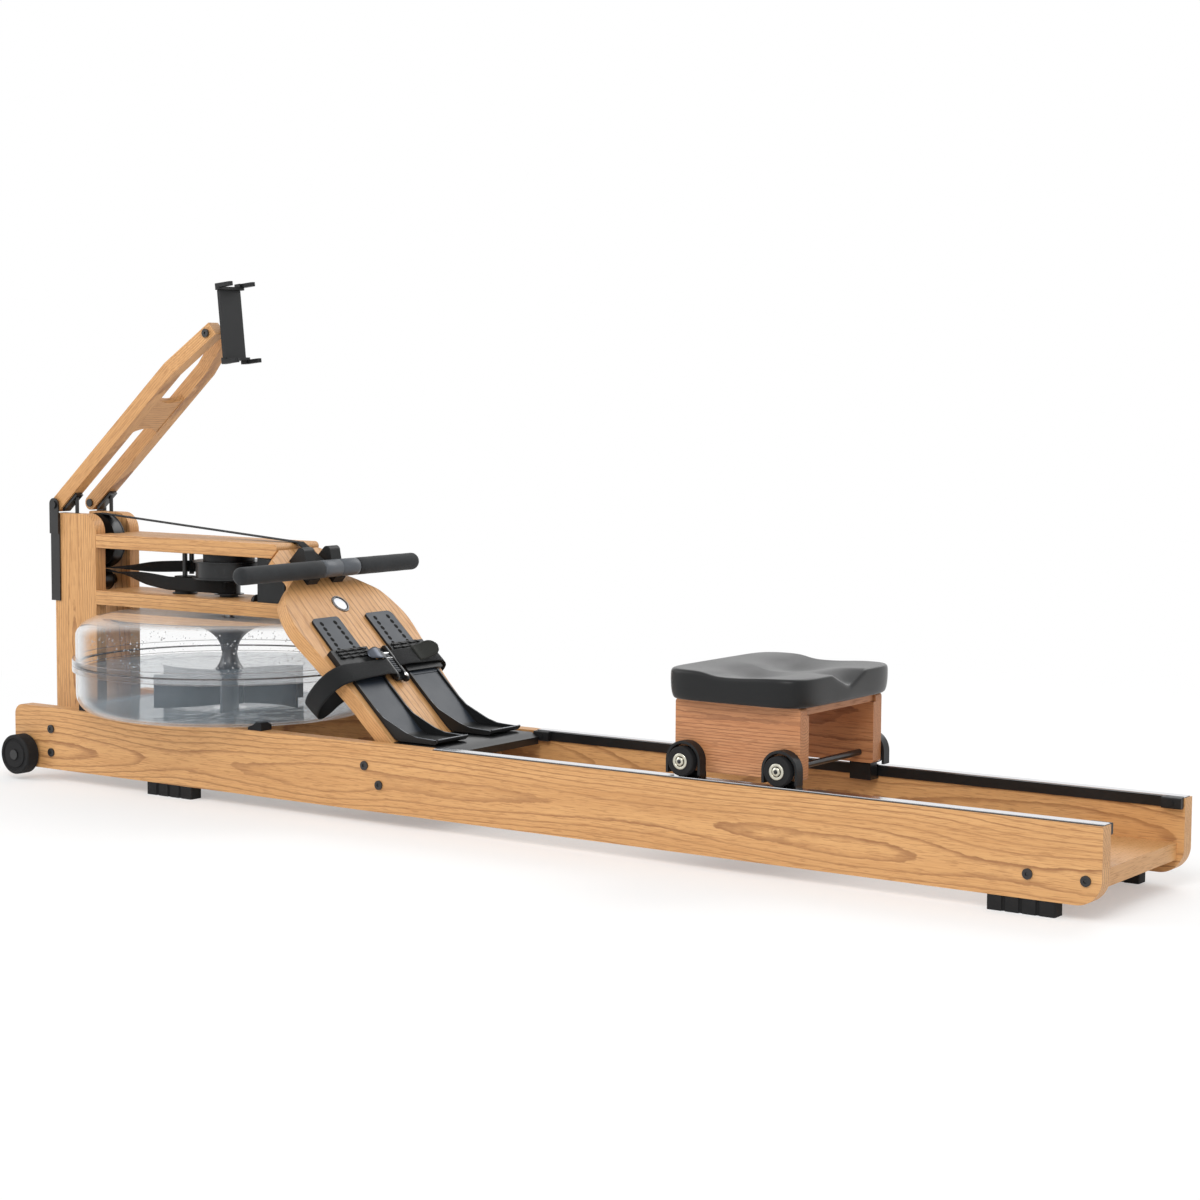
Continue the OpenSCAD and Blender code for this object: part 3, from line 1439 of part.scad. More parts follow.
module clamp_rods(d, len) {
    for (y = [-16, 16])
        translate([holder_off - holder_t / 2, y, holder_h - holder_low - len]) cylinder(d = d, h = len + 2);
}

module top_clamp() {
    color(coal) at_holder() {
        translate([0, 0, holder_h - holder_low + move_gap]) clamp_fork(11);
        clamp_rods(clamp_rod_d, clamp_rod_len);
    }
}

left_rail();
right_rail();
track_strips();
track_bases();
track_stops();
rail_feet();
front_cross();
rear_deck();
frame_bolts();
uprights();
upper_deck();
lower_deck();
footboard();
footboard_cleat();
badge_disc();
heel_wedge();
strap_anchors();
toe_straps();
toe_buckles();
left_heel_rest();
right_heel_rest();
tank_lower_shell();
tank_upper_shell();
tank_seal();
tank_pads();
water();
impeller();
drive_shaft();
shaft_bearings();
strap_drum();
recoil_spool();
guide_roller();
guide_posts();
steel_axles();
top_pulley();
recoil_pulley();
pull_strap();
recoil_strap();
bungee_cord();
sensor_box();
handle_rests();
handle_bar();
handle_grips();
centre_sleeve();
seat_panels();
seat_board();
seat_cushion();
seat_axles();
front_seat_wheels();
rear_seat_wheels();
wheel_guards();
seat_clips();
transport_wheels();
arm_brackets();
arm_stays();
tablet_arms();
arm_brace();
tilt_bolt();
holder_plate();
top_clamp();
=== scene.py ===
"""Water rowing machine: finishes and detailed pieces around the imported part."""

import math

import bmesh
import bpy
from bpy.props import FloatProperty, FloatVectorProperty, IntProperty, PointerProperty
from mathutils import Matrix, Vector, noise


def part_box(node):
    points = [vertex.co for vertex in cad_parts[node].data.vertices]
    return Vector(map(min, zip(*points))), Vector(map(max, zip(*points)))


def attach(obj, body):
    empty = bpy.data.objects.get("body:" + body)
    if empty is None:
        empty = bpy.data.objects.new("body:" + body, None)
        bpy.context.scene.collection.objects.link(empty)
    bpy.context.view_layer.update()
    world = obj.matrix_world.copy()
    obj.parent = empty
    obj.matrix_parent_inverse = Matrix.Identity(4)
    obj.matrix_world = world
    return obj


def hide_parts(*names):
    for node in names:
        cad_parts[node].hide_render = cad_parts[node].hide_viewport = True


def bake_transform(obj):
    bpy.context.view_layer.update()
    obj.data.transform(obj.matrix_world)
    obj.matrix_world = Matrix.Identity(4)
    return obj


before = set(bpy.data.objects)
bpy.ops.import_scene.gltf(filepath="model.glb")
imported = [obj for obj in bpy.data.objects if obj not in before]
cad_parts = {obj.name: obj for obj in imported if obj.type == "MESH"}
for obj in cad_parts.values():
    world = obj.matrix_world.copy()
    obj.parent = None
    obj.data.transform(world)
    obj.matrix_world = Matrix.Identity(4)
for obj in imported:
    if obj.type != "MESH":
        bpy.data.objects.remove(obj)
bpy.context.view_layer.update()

bl_info = {
    "name": "Water rowing machine",
    "version": (1, 0, 0),
    "blender": (4, 5, 0),
    "location": "View3D > Sidebar > Rower",
    "description": "Dresses the packed water rowing machine with wood, foam, webbing and water",
    "category": "Add Mesh",
}

MM = 0.001
SIDES = (-1, 1)
Y, Z = Vector((0, 1, 0)), Vector((0, 0, 1))


# Nodes


def socket_of(made, key):
    """An enabled input by number or by name."""
    if isinstance(key, int):
        return made.inputs[key]
    return next(s for s in made.inputs if s.name == key and s.enabled)


def feed(tree, socket, value):
    """Links a value to a socket, or sets the socket."""
    value = getattr(value, "socket", value)
    if isinstance(value, bpy.types.NodeSocket):
        tree.links.new(value, socket)
    elif isinstance(value, str) or not hasattr(socket.default_value, "__len__"):
        socket.default_value = value
    else:
        size = len(socket.default_value)
        many = value if hasattr(value, "__len__") else [value] * size
        socket.default_value = (*many, 1.0)[:size]


def node(tree, kind, settings=None, inputs=()):
    """Any node: its settings first, then the values or links of its sockets."""
    made = tree.nodes.new(kind)
    for key, value in (settings or {}).items():
        setattr(made, key, value)
    for key, value in inputs.items() if isinstance(inputs, dict) else enumerate(inputs):
        feed(tree, socket_of(made, key), value)
    return made


def maths(operation):
    """A method that adds one Math node to a value and its others."""

    def method(self, *others):
        return self.finish.node("ShaderNodeMath", {"operation": operation}, [self, *others])

    return method


class Value:
    """A shader socket that adds Math nodes when it is used in an expression."""

    def __init__(self, finish, socket):
        self.finish = finish
        self.socket = socket

    __add__ = __radd__ = maths("ADD")
    __sub__ = maths("SUBTRACT")
    __mul__ = __rmul__ = maths("MULTIPLY")
    __truediv__ = maths("DIVIDE")
    __pow__ = maths("POWER")
    __abs__ = maths("ABSOLUTE")
    sine = maths("SINE")
    fraction = maths("FRACT")
    higher = maths("MAXIMUM")

    def __rsub__(self, other):
        return self.finish.node("ShaderNodeMath", {"operation": "SUBTRACT"}, [other, self])

    def between(self, low, high, to_low=0.0, to_high=1.0):
        """The value from low to high taken smoothly to another range."""
        return self.finish.node(
            "ShaderNodeMapRange",
            {"interpolation_type": "SMOOTHSTEP"},
            {"Value": self, "From Min": low, "From Max": high, "To Min": to_low, "To Max": to_high},
        )


class Finish:
    """A material under construction, with one Principled shader."""

    def __init__(self, name, **sockets):
        self.material = bpy.data.materials.new(name)
        self.material.use_nodes = True
        self.tree = self.material.node_tree
        self.shader = self.tree.nodes["Principled BSDF"]
        for socket, value in sockets.items():
            self.set(socket.replace("_", " "), value)

    def node(self, kind, settings=None, inputs=(), output=0):
        """A node of the material's tree, as the value that it gives."""
        return Value(self, node(self.tree, kind, settings, inputs).outputs[output])

    def set(self, name, value):
        """Feeds one of the shader's own sockets."""
        feed(self.tree, socket_of(self.shader, name), value)

    def place(self):
        """The point on the object, in metres in the row frame."""
        return self.node("ShaderNodeTexCoord", output="Object")

    def split(self, vector):
        """The three parts of a vector."""
        parts = self.node("ShaderNodeSeparateXYZ", None, [vector])
        return [Value(self, s) for s in parts.socket.node.outputs]

    def cloud(self, vector, scale, detail=3.0, roughness=0.5, warp=0.0):
        """Soft noise from 0 to 1."""
        inputs = {"Vector": vector, "Scale": scale, "Detail": detail}
        inputs.update({"Roughness": roughness, "Distortion": warp})
        return self.node("ShaderNodeTexNoise", None, inputs)

    def streaks(self, vector, scale, *detail):
        """Soft noise with its own scale along each axis."""
        vector = self.node("ShaderNodeVectorMath", {"operation": "MULTIPLY"}, [vector, scale])
        return self.cloud(vector, 1.0, *detail)

    def cells(self, vector, scale, feature="F1"):
        """Distance to scattered points."""
        inputs = {"Vector": vector, "Scale": scale}
        return self.node("ShaderNodeTexVoronoi", {"feature": feature}, inputs)

    def facing(self, *limits):
        """How far the face turns away from the eye, between limits."""
        return self.node("ShaderNodeLayerWeight", None, {"Blend": 0.5}, "Facing").between(*limits)

    def ramp(self, value, stops):
        """Two colours along a value."""
        made = self.node("ShaderNodeValToRGB", None, [value])
        for element, (place, tint) in zip(made.socket.node.color_ramp.elements, stops):
            element.position = place
            element.color = (*tint, 1.0)
        return made

    def mix(self, factor, first, second):
        """One colour over another."""
        inputs = {"Factor": factor, "A": first, "B": second}
        return self.node("ShaderNodeMix", {"data_type": "RGBA"}, inputs, 2)

    def bump(self, height, distance, strength=1.0):
        """Feeds the surface's bump, distance in metres."""
        inputs = {"Height": height, "Distance": distance, "Strength": strength}
        self.set("Normal", self.node("ShaderNodeBump", None, inputs))


# Settings


def shade(red, green, blue):
    """A linear colour from the 0 to 255 values of a swatch."""
    return tuple(
        (c / 255 / 12.92) if c <= 10 else ((c / 255 + 0.055) / 1.055) ** 2.4
        for c in (red, green, blue)
    )


def toned(tint, factor, more=0.0):
    """A colour lighter or darker by a factor, with a little more of each part."""
    return [c * factor + more for c in tint]


def colour(label, about, *swatch):
    """A colour setting with a swatch as its default."""
    return FloatVectorProperty(
        name=label, description=about, subtype="COLOR", size=3, min=0, max=1, default=shade(*swatch)
    )


def length(label, about, default, low, high):
    """A length setting in metres."""
    limits = {"default": default, "min": low, "max": high}
    return FloatProperty(name=label, description=about, unit="LENGTH", precision=4, **limits)


def number(label, about, default, low, high):
    """A whole number setting."""
    return IntProperty(name=label, description=about, default=default, min=low, max=high)


class RowerColours(bpy.types.PropertyGroup):
    """Colours of the machine's finishes."""

    oak_light: colour("Oak, early wood", "Light wood between the rings", 220, 170, 113)
    oak_mid: colour("Oak, body", "Main colour of the boards", 195, 143, 89)
    oak_dark: colour("Oak, late wood", "Dark lines of the rings", 132, 82, 44)
    red_light: colour("Seat oak, early wood", "Light wood of the seat panels", 200, 143, 98)
    red_mid: colour("Seat oak, body", "Main colour of the seat panels", 178, 117, 74)
    red_dark: colour("Seat oak, late wood", "Dark lines of the seat panels", 104, 58, 34)
    plastic: colour("Black plastic", "Moulded black parts", 20, 21, 22)
    cup: colour("Heel rests", "Glossy grey of the heel rests", 30, 37, 46)
    rubber: colour("Rubber", "Feet, tyres and pads", 24, 24, 25)
    webbing: colour("Webbing", "Toe straps and drive straps", 20, 21, 22)
    foam: colour("Grips", "Foam of the handle's grips", 32, 34, 36)
    cushion: colour("Cushion", "Skin of the seat cushion", 15, 16, 17)
    water: colour("Water", "Tint of the water in the tank", 150, 168, 180)
    shell: colour("Tank", "Tint of the clear shells", 240, 243, 245)


class RowerSizes(bpy.types.PropertyGroup):
    """Sizes of the detail that the dressed pieces add."""

    edge: length("Eased edge", "Radius along the boards' edges", 0.0016, 0.0002, 0.004)
    thread: length("Stitch length", "Length of a stitch on the straps", 0.0034, 0.001, 0.008)
    weave: length("Weave", "Pitch of the webbing's ribs", 0.0016, 0.0005, 0.004)
    drop: length("Droplet", "Radius of the largest droplets in the tank", 0.0016, 0.0004, 0.004)
    drops: number("Droplets", "How many droplets cling inside the tank", 900, 0, 3000)
    tread: number("Tread ribs", "Ribs round each transport wheel", 48, 12, 90)


class Step:
    """What the operators share: each builds its pieces from the scene's settings."""

    def execute(self, context):
        self.build(context.scene.rower_colours, context.scene.rower_sizes)
        return {"FINISHED"}


# Finishes


def oak(name, tones, core, turn, pith, ring, wave):
    """Oak whose grain runs along the turned X axis. The rings lie round a pith behind the face,
    so that arches close along the board's middle where the pith is near."""
    light, mid, dark = tones
    wood = Finish(name, Roughness=0.45, Coat_Weight=0.1, Coat_Roughness=0.35, IOR=1.45)
    inputs = {"Vector": wood.place(), "Location": core, "Rotation": turn}
    point = wood.node("ShaderNodeMapping", {"vector_type": "TEXTURE"}, inputs)
    sway = wood.streaks(point, (1.3, 4.0, 5.0), 1.5) - 0.5
    jitter = wood.streaks(point, (34.0, 90.0, 90.0), 3.0, 0.55) - 0.5
    _, y, z = wood.split(point)
    depth = y + pith
    rings = ((depth * depth + z * z) ** 0.5 + sway * wave + jitter * 0.0021) / ring
    saw = rings.fraction()
    late = saw.between(0.64, 0.93) * (1 - saw.between(0.94, 1.0))
    fibre = wood.streaks(point, (16.0, 520.0, 520.0), 3.0, 0.7)
    pore = wood.streaks(point, (42.0, 800.0, 800.0), 1.0).between(0.54, 0.68)
    bands = wood.streaks(point, (2.0, 34.0, 38.0), 2.0)
    body = wood.ramp(fibre * 0.7 + bands * 0.5 - 0.1, [(0.3, mid), (0.72, light)])
    strength = bands.between(0.3, 0.7, 0.34, 0.78)
    grained = wood.mix(late * strength * fibre.between(0.25, 0.6, 0.6, 1.0), body, dark)
    wood.set("Base Color", wood.mix(pore * 0.34, grained, dark))
    wood.set("Roughness", 0.42 + pore * 0.2 + fibre * 0.08)
    wood.bump(0 - pore - late * 0.3, 0.0002, 0.5)
    return wood.material


def weathered(name, tint, drift, span, pale, gloss, relief, **sockets):
    """A finish whose tone and gloss drift over the piece, with a fine relief. Drift is the noise
    and span its limits, pale what lightens the tint, gloss the roughness and what the drift adds
    to it. Relief is the scale of the fine noise, then the bump's distance and strength."""
    made = Finish(name, **sockets)
    point = made.place()
    scale, distance, strength = relief
    blotch = made.cloud(point, *drift)
    made.set("Base Color", made.mix(blotch.between(*span), tint, toned(tint, *pale)))
    made.set("Roughness", gloss[0] + blotch * gloss[1])
    made.bump(made.cloud(point, scale, 2.0), distance, strength)
    return made


def moulded(name, tint, roughness=0.46, grain=0.5, coat=0.0):
    """Moulded plastic with a fine spark-eroded texture and slight wear."""
    drift, span, gloss = (22.0, 4.0, 0.6), (0.35, 0.75), (roughness - 0.06, 0.14)
    return weathered(
        name, tint, drift, span, (1.3, 0.001), gloss, (1500.0, 0.00012, grain),
        Roughness=roughness, Coat_Weight=coat, Coat_Roughness=0.2, Specular_IOR_Level=0.32,
    ).material


def rubber(name, tint):
    """Matt rubber with a dusty bloom."""
    drift, span, gloss = (60.0, 4.0, 0.65), (0.4, 0.8), (0.68, 0.2)
    return weathered(
        name, tint, drift, span, (1.4, 0.002), gloss, (900.0, 0.0002, 0.5),
        Roughness=0.78, Specular_IOR_Level=0.3,
    ).material


def powder_coat(name, tint):
    """Black powder-coated steel with its orange-peel surface."""
    drift, span, gloss = (30.0, 4.0), (0.4, 0.8), (0.26, 0.16)
    return weathered(
        name, tint, drift, span, (1.7,), gloss, (420.0, 0.0002, 0.4),
        Roughness=0.32, Coat_Weight=0.2, Coat_Roughness=0.15, IOR=1.5,
    ).material


def foam(name, tint):
    """Closed-cell foam of the grips, with its fine cells and handled places."""
    sheen = {"Sheen_Weight": 0.1, "Sheen_Roughness": 0.5}
    grip = Finish(name, Roughness=0.8, Specular_IOR_Level=0.3, **sheen)
    point = grip.place()
    soft = grip.cloud(point, 45.0, 4.0, 0.6)
    grip.set("Base Color", grip.mix(soft.between(0.3, 0.75), tint, toned(tint, 1.5, 0.004)))
    grip.set("Roughness", 0.7 + soft * 0.2)
    grip.bump(grip.cells(point, 900.0), 0.0003, 0.5)
    return grip.material


def cushion_skin(name, tint):
    """The cushion's moulded skin: a fine leather grain, polished a little on the crests."""
    sheen = {"Sheen_Weight": 0.35, "Sheen_Roughness": 0.35}
    skin = Finish(name, Roughness=0.4, Specular_IOR_Level=0.3, **sheen)
    point = skin.place()
    fine = skin.cloud(point, 1300.0, 2.0)
    tone = skin.cloud(point, 16.0, 4.0, 0.55)
    skin.set("Base Color", skin.mix(tone.between(0.3, 0.75), toned(tint, 0.9), toned(tint, 1.25)))
    skin.set("Roughness", 0.3 + tone * 0.14 + fine * 0.06)
    skin.bump(skin.cells(point, 620.0, "SMOOTH_F1") * 0.7 + fine * 0.4, 0.00025, 0.55)
    return skin.material


def metal(name, tint, roughness, brushed=(1, 1, 1)):
    """Metal with brushing lines that are longest where brushed is smallest."""
    bar = Finish(name, Metallic=1.0, Roughness=roughness)
    lines = bar.streaks(bar.place(), toned(brushed, 900.0), 2.0)
    smear = bar.cloud(bar.place(), 14.0)
    bar.set("Base Color", bar.mix(lines, toned(tint, 0.86), tint))
    bar.set("Roughness", roughness * 0.8 + smear * roughness * 0.5)
    bar.bump(lines, 0.00004, 0.35)
    return bar.material


def woven(name, tint, pitch):
    """Webbing: ribs across the tape and a twill along it, on the tape's own UV map in metres."""
    sheen = {"Sheen_Weight": 0.05, "Sheen_Roughness": 0.4}
    band = Finish(name, Roughness=0.72, Specular_IOR_Level=0.2, **sheen)
    u, v, _ = band.split(band.node("ShaderNodeTexCoord", output="UV"))
    turns = 2 * math.pi / pitch
    warp = (v * turns * 0.9).sine()
    weft = (u * turns + warp * 0.9).sine()
    weave = weft * 0.5 + warp * 0.35 + 0.5
    fuzz = band.cloud(band.node("ShaderNodeCombineXYZ", None, [u * 900, v * 900]), 1.0, 2.0)
    tone = (weave * 0.6 + fuzz * 0.3).between(0.2, 0.9)
    band.set("Base Color", band.mix(tone, tint, toned(tint, 1.9, 0.003)))
    band.set("Roughness", 0.62 + fuzz * 0.25)
    band.bump(weave + fuzz * 0.3, 0.0004, 0.8)
    return band.material


def clear_plastic(name, tint, thin, rim, edge=0.55):
    """Clear shell: almost unseen where it is looked through squarely, with a painted reflection on
    its outline, where its opacity rises so that its pale tint shows white.
    """
    clear = Finish(name, Roughness=0.05, IOR=1.5, Coat_Weight=1.0, Coat_Roughness=0.02)
    smear = clear.cloud(clear.place(), 9.0)
    clear.set("Base Color", clear.mix(smear, tint, toned(tint, 0.92)))
    clear.set("Roughness", 0.02 + smear * 0.05)
    # Painted reflection: the opacity grows as the face turns away from the eye, so the tint, pale
    # on the shells and droplets, whitens the outline
    clear.set("Alpha", clear.facing(edge, 1.0, thin, rim) + smear * 0.01)
    return clear.material


def still_water(name, tint):
    """Water: a light blue-grey tint with ripples and depth towards its edge."""
    pool = Finish(name, Roughness=0.03, IOR=1.33)
    ripple = pool.streaks(pool.place(), (18.0, 18.0, 4.0), 3.0, 0.5, 1.2)
    pool.set("Base Color", pool.mix(ripple.between(0.35, 0.65), toned(tint, 0.85), tint))
    pool.set("Alpha", pool.facing(0.4, 1.0, 0.16, 0.6) + ripple * 0.05)
    pool.bump(ripple, 0.004, 0.5)
    return pool.material


# Mesh making


def piece(name, points, faces, smooth=True, uvs=None):
    """A mesh object at the origin, with its normals facing outwards."""
    mesh = bpy.data.meshes.new(name)
    mesh.from_pydata([tuple(p) for p in points], [], faces)
    if uvs is not None:
        layer = mesh.uv_layers.new(name="UVMap")
        for loop in mesh.loops:
            layer.data[loop.index].uv = uvs[loop.vertex_index]
    built = bmesh.new()
    built.from_mesh(mesh)
    bmesh.ops.recalc_face_normals(built, faces=built.faces)
    return whole(name, built, mesh, smooth)


def linked(name, data):
    """An object in the scene."""
    made = bpy.data.objects.new(name, data)
    bpy.context.scene.collection.objects.link(made)
    return made


def whole(name, built, mesh, smooth=None):
    """The object of a finished bmesh."""
    built.to_mesh(mesh)
    built.free()
    if smooth is not None:
        mesh.polygons.foreach_set("use_smooth", [smooth] * len(mesh.polygons))
    return linked(name, mesh)


def joined(name, parts):
    """Several plain pieces as one mesh."""
    built = bmesh.new()
    for part in parts:
        built.from_mesh(part.data)
    made = whole(name, built, bpy.data.meshes.new(name))
    for part in parts:
        discard(part)
    return made


def discard(made):
    """Takes an object away together with its mesh."""
    mesh = made.data
    bpy.data.objects.remove(made)
    bpy.data.meshes.remove(mesh)


def finish_piece(made, material, slot, body, *nodes):
    """Gives a piece its material, and lets it ride and stand for CAD nodes. Its slot is not used.
    """
    if not made.data.materials:
        made.data.materials.append(material)
    if body:
        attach(made, body)
    if nodes:
        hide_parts(*nodes)
    return made


def modifier(made, name, kind, **settings):
    """A modifier with its settings."""
    step = made.modifiers.new(name, kind)
    for key, value in settings.items():
        setattr(step, key, value)
    return step


def applied(made):
    """A piece with its modifiers turned into plain mesh."""
    graph = bpy.context.evaluated_depsgraph_get()
    solid = bpy.data.meshes.new_from_object(made.evaluated_get(graph), depsgraph=graph)
    made.modifiers.clear()
    old = made.data
    made.data = solid
    solid.name = made.name
    bpy.data.meshes.remove(old)
    return made


def soften(made):
    """One step of subdivision, applied."""
    modifier(made, "Subdivision", "SUBSURF", levels=1, render_levels=1)
    return applied(made)


def bevel(made, width, limit, **settings):
    """Rounded edges where the faces turn by more than the limit, in degrees."""
    limits = {"limit_method": "ANGLE", "angle_limit": math.radians(limit)}
    modifier(made, "Bevel", "BEVEL", width=width, segments=2, **limits, **settings)


def eased(made, width):
    """A piece with its sharp edges bevelled, applied, and smooth faces between."""
    bevel(made, width, 35, harden_normals=False)
    applied(made)
    made.data.polygons.foreach_set("use_smooth", [True] * len(made.data.polygons))
    made.data.set_sharp_from_angle(angle=math.radians(50))
    return made


def circle(count):
    """The cosines and sines of equal steps of a full turn."""
    angles = [math.radians(360.0 * k / count) for k in range(count)]
    return [(math.cos(a), math.sin(a)) for a in angles]


def bands(rings, around, first=0):
    """The quads between closed rings of points that follow each other."""
    starts = range(first, first + (rings - 1) * around, around)
    pairs = [(i, k, (k + 1) % around) for i in starts for k in range(around)]
    return [(i + k, i + n, i + n + around, i + k + around) for i, k, n in pairs]


def spline(points, steps=6):
    """A smooth curve through points, as the part's source draws it."""
    points = [Vector(p) for p in points]
    line = []
    for i in range(len(points) - 1):
        a, b = points[max(i - 1, 0)], points[i]
        c, d = points[i + 1], points[min(i + 2, len(points) - 1)]
        bend, swing = 2 * a - 5 * b + 4 * c - d, 3 * b - a - 3 * c + d
        for t in (k / steps for k in range(steps)):
            line.append(0.5 * (2 * b + (c - a) * t + bend * t * t + swing * t * t * t))
    line.append(points[-1])
    return line


def reaches(points):
    """How far along a line each of its points lies."""
    reach = [0.0]
    for a, b in zip(points, points[1:]):
        reach.append(reach[-1] + (b - a).length)
    return reach


def resample(points, step=0.003):
    """The same line with points an equal distance apart."""
    points = [Vector(p) for p in points]
    reach = reaches(points)
    count = max(2, round(reach[-1] / step))
    line, k = [], 0
    for i in range(count + 1):
        s = reach[-1] * i / count
        while k < len(points) - 2 and reach[k + 1] < s:
            k += 1
        span = reach[k + 1] - reach[k]
        line.append(points[k].lerp(points[k + 1], (s - reach[k]) / span if span else 0.0))
    return line


def tangents(points):
    """The direction of a line at each of its points."""
    padded = [points[0], *points, points[-1]]
    return [(after - before).normalized() for before, after in zip(padded, padded[2:])]


def tube(name, points, radius, sides=16):
    """A round tube along points, with closed ends."""
    points = [Vector(p) for p in points]
    ways = tangents(points)
    side = ways[0].orthogonal().normalized()
    verts, uvs = [], []
    for p, way, run in zip(points, ways, reaches(points)):
        side = (side - way * side.dot(way)).normalized()
        other = way.cross(side)
        for k, (c, s) in enumerate(circle(sides)):
            verts.append(p + (side * c + other * s) * radius)
            uvs.append((run, 2 * math.pi * k / sides * radius))
    count = len(verts)
    faces = bands(len(points), sides)
    faces += [tuple(range(sides))[::-1], tuple(range(count - sides, count))]
    return piece(name, verts, faces, True, uvs)


NARROW = 0.002


def tape(name, points, across, halves, thick, columns, edge):
    """A woven tape along points, with its half width at each: a slim lens section that thins
    towards its rounded edges, and runs out where the tape is narrow."""
    points = [Vector(p) for p in points]
    row = [k / columns * 2 - 1 for k in range(columns + 1)]
    ring = [(s, 1) for s in row] + [(s, -1) for s in row[::-1]]
    verts, uvs = [], []
    lines = zip(points, tangents(points), across, halves, reaches(points))
    for p, way, wide, half, run in lines:
        wide = (wide - way * wide.dot(way)).normalized()
        face = way.cross(wide)
        for s, sign in ring:
            lift = sign * thick / 2 * (1 - edge * abs(s) ** 6) * min(1.0, half / NARROW)
            verts.append(p + wide * (s * half) + face * lift)
            uvs.append((run, s * half))
    count = len(ring)
    faces = bands(len(points), count)
    for base in (0, (len(points) - 1) * count):
        for k in range(columns):
            quad = (base + k, base + k + 1, base + count - 2 - k, base + count - 1 - k)
            faces.append(quad if base else quad[::-1])
    return piece(name, verts, faces, True, uvs)


def turned_piece(name, profile, origin, axis=Z, steps=64):
    """A lathe shape: profile is (distance along the axis, radius), closed on the axis."""
    axis = Vector(axis).normalized()
    side = axis.orthogonal().normalized()
    other = axis.cross(side)
    verts, faces, rows = [], [], []
    for along, radius in profile:
        centre = Vector(origin) + axis * along
        turns = [(0.0, 0.0)] if radius < 1e-7 else circle(steps)
        rows.append(range(len(verts), len(verts) + len(turns)))
        verts += [centre + (side * c + other * s) * radius for c, s in turns]
    for low, high in zip(rows, rows[1:]):
        for k in range(steps if len(low) + len(high) > 2 else 0):
            n = (k + 1) % steps
            if len(low) == 1:
                faces.append((low[0], high[k], high[n]))
            elif len(high) == 1:
                faces.append((low[k], low[n], high[0]))
            else:
                faces.append((low[k], low[n], high[n], high[k]))
    return piece(name, verts, faces)


def edge_ring(radius, centre, steps, *rim):
    """A slim ring round a level edge. Its rim is given as pairs of height and depth."""
    half = [(-height, radius - depth) for height, depth in rim]
    return turned_piece("Edge", half + [(-z, r) for z, r in reversed(half)], centre, Z, steps)


def box_piece(name, low, high, turn=None, origin=(0, 0, 0)):
    """A block from corner to corner in its own frame, turned and moved to its place."""
    ends = list(zip(low, high))
    corners = [Vector((x, y, z)) for x in ends[0] for y in ends[1] for z in ends[2]]
    turn = turn or Matrix.Identity(3)
    faces = [(0, 1, 3, 2), (4, 6, 7, 5), (0, 4, 5, 1), (2, 3, 7, 6), (0, 2, 6, 4), (1, 5, 7, 3)]
    return piece(name, [Vector(origin) + turn @ c for c in corners], faces, False)


# Geometry node groups


def geometry_group(name, **inputs):
    """A modifier's empty node group, with its geometry sockets and further inputs."""
    tree = bpy.data.node_groups.new(name, "GeometryNodeTree")
    tree.is_modifier = True
    sockets = [("Geometry", "Geometry", "INPUT"), *((k, v, "INPUT") for k, v in inputs.items())]
    for label, kind, way in sockets + [("Geometry", "Geometry", "OUTPUT")]:
        tree.interface.new_socket(label, in_out=way, socket_type="NodeSocket" + kind)
    return tree


def live(made):
    """The first enabled output of a node."""
    return next(o for o in made.outputs if o.enabled)


def repeat_tree():
    """Instances the shape on the points, turned by their "turn" attribute, scaled at random."""
    name = "Repeat on points"
    if name in bpy.data.node_groups:
        return bpy.data.node_groups[name]
    kinds = {"Shape": "Object", "Finish": "Material", "Size": "Float", "Spread": "Float"}
    tree = geometry_group(name, **kinds, Seed="Int")
    into = node(tree, "NodeGroupInput").outputs
    kind = {"data_type": "FLOAT_VECTOR"}
    turn = node(tree, "GeometryNodeInputNamedAttribute", kind, {"Name": "turn"})
    draw = node(tree, "FunctionNodeRandomValue", {"data_type": "FLOAT"}, {"Seed": into["Seed"]})
    less = node(tree, "ShaderNodeMath", {"operation": "MULTIPLY"}, [live(draw), into["Spread"]])
    scale = node(tree, "ShaderNodeMath", {"operation": "SUBTRACT"}, [into["Size"], less.outputs[0]])
    shape = {"Object": into["Shape"]}
    shape = node(tree, "GeometryNodeObjectInfo", {"transform_space": "ORIGINAL"}, shape)
    rotate = node(tree, "FunctionNodeEulerToRotation", None, [live(turn)])
    inputs = {"Points": into["Geometry"], "Instance": shape.outputs["Geometry"]}
    inputs.update({"Rotation": rotate.outputs[0], "Scale": scale.outputs[0]})
    placed = node(tree, "GeometryNodeInstanceOnPoints", None, inputs)
    real = node(tree, "GeometryNodeRealizeInstances", None, [placed.outputs[0]])
    inputs = {"Geometry": real.outputs[0], "Material": into["Finish"]}
    finish = node(tree, "GeometryNodeSetMaterial", None, inputs)
    node(tree, "NodeGroupOutput", None, [finish.outputs[0]])
    return tree


def repeated(name, shape, places, material, size=1.0, spread=0.0, seed=7):
    """One mesh of a shape set at places, each a point and the matrix of its turn."""
    carrier = piece(name, [p for p, _ in places], [])
    turns = carrier.data.attributes.new("turn", "FLOAT_VECTOR", "POINT")
    turns.data.foreach_set("vector", [a for _, turn in places for a in turn.to_euler()])
    step = modifier(carrier, "Repeats", "NODES", node_group=repeat_tree())
    sockets = step.node_group.interface.items_tree
    ids = {s.name: s.identifier for s in sockets if s.in_out == "INPUT"}
    values = {"Shape": shape, "Finish": material, "Size": size, "Spread": spread, "Seed": seed}
    for label, value in values.items():
        step[ids[label]] = value
    applied(carrier)
    discard(shape)
    return carrier


def frame_of(along, out):
    """A turn that takes X along a direction and Z out to another that is square to it."""
    return Matrix((along, out.cross(along), out)).transposed()


def facing(way, up=Z):
    """A turn that takes Z to a direction, with X as near to up as it can be."""
    z = Vector(way).normalized()
    x = Vector(up) - z * Vector(up).dot(z)
    return frame_of(x.normalized() if x.length > 1e-6 else z.orthogonal().normalized(), z)


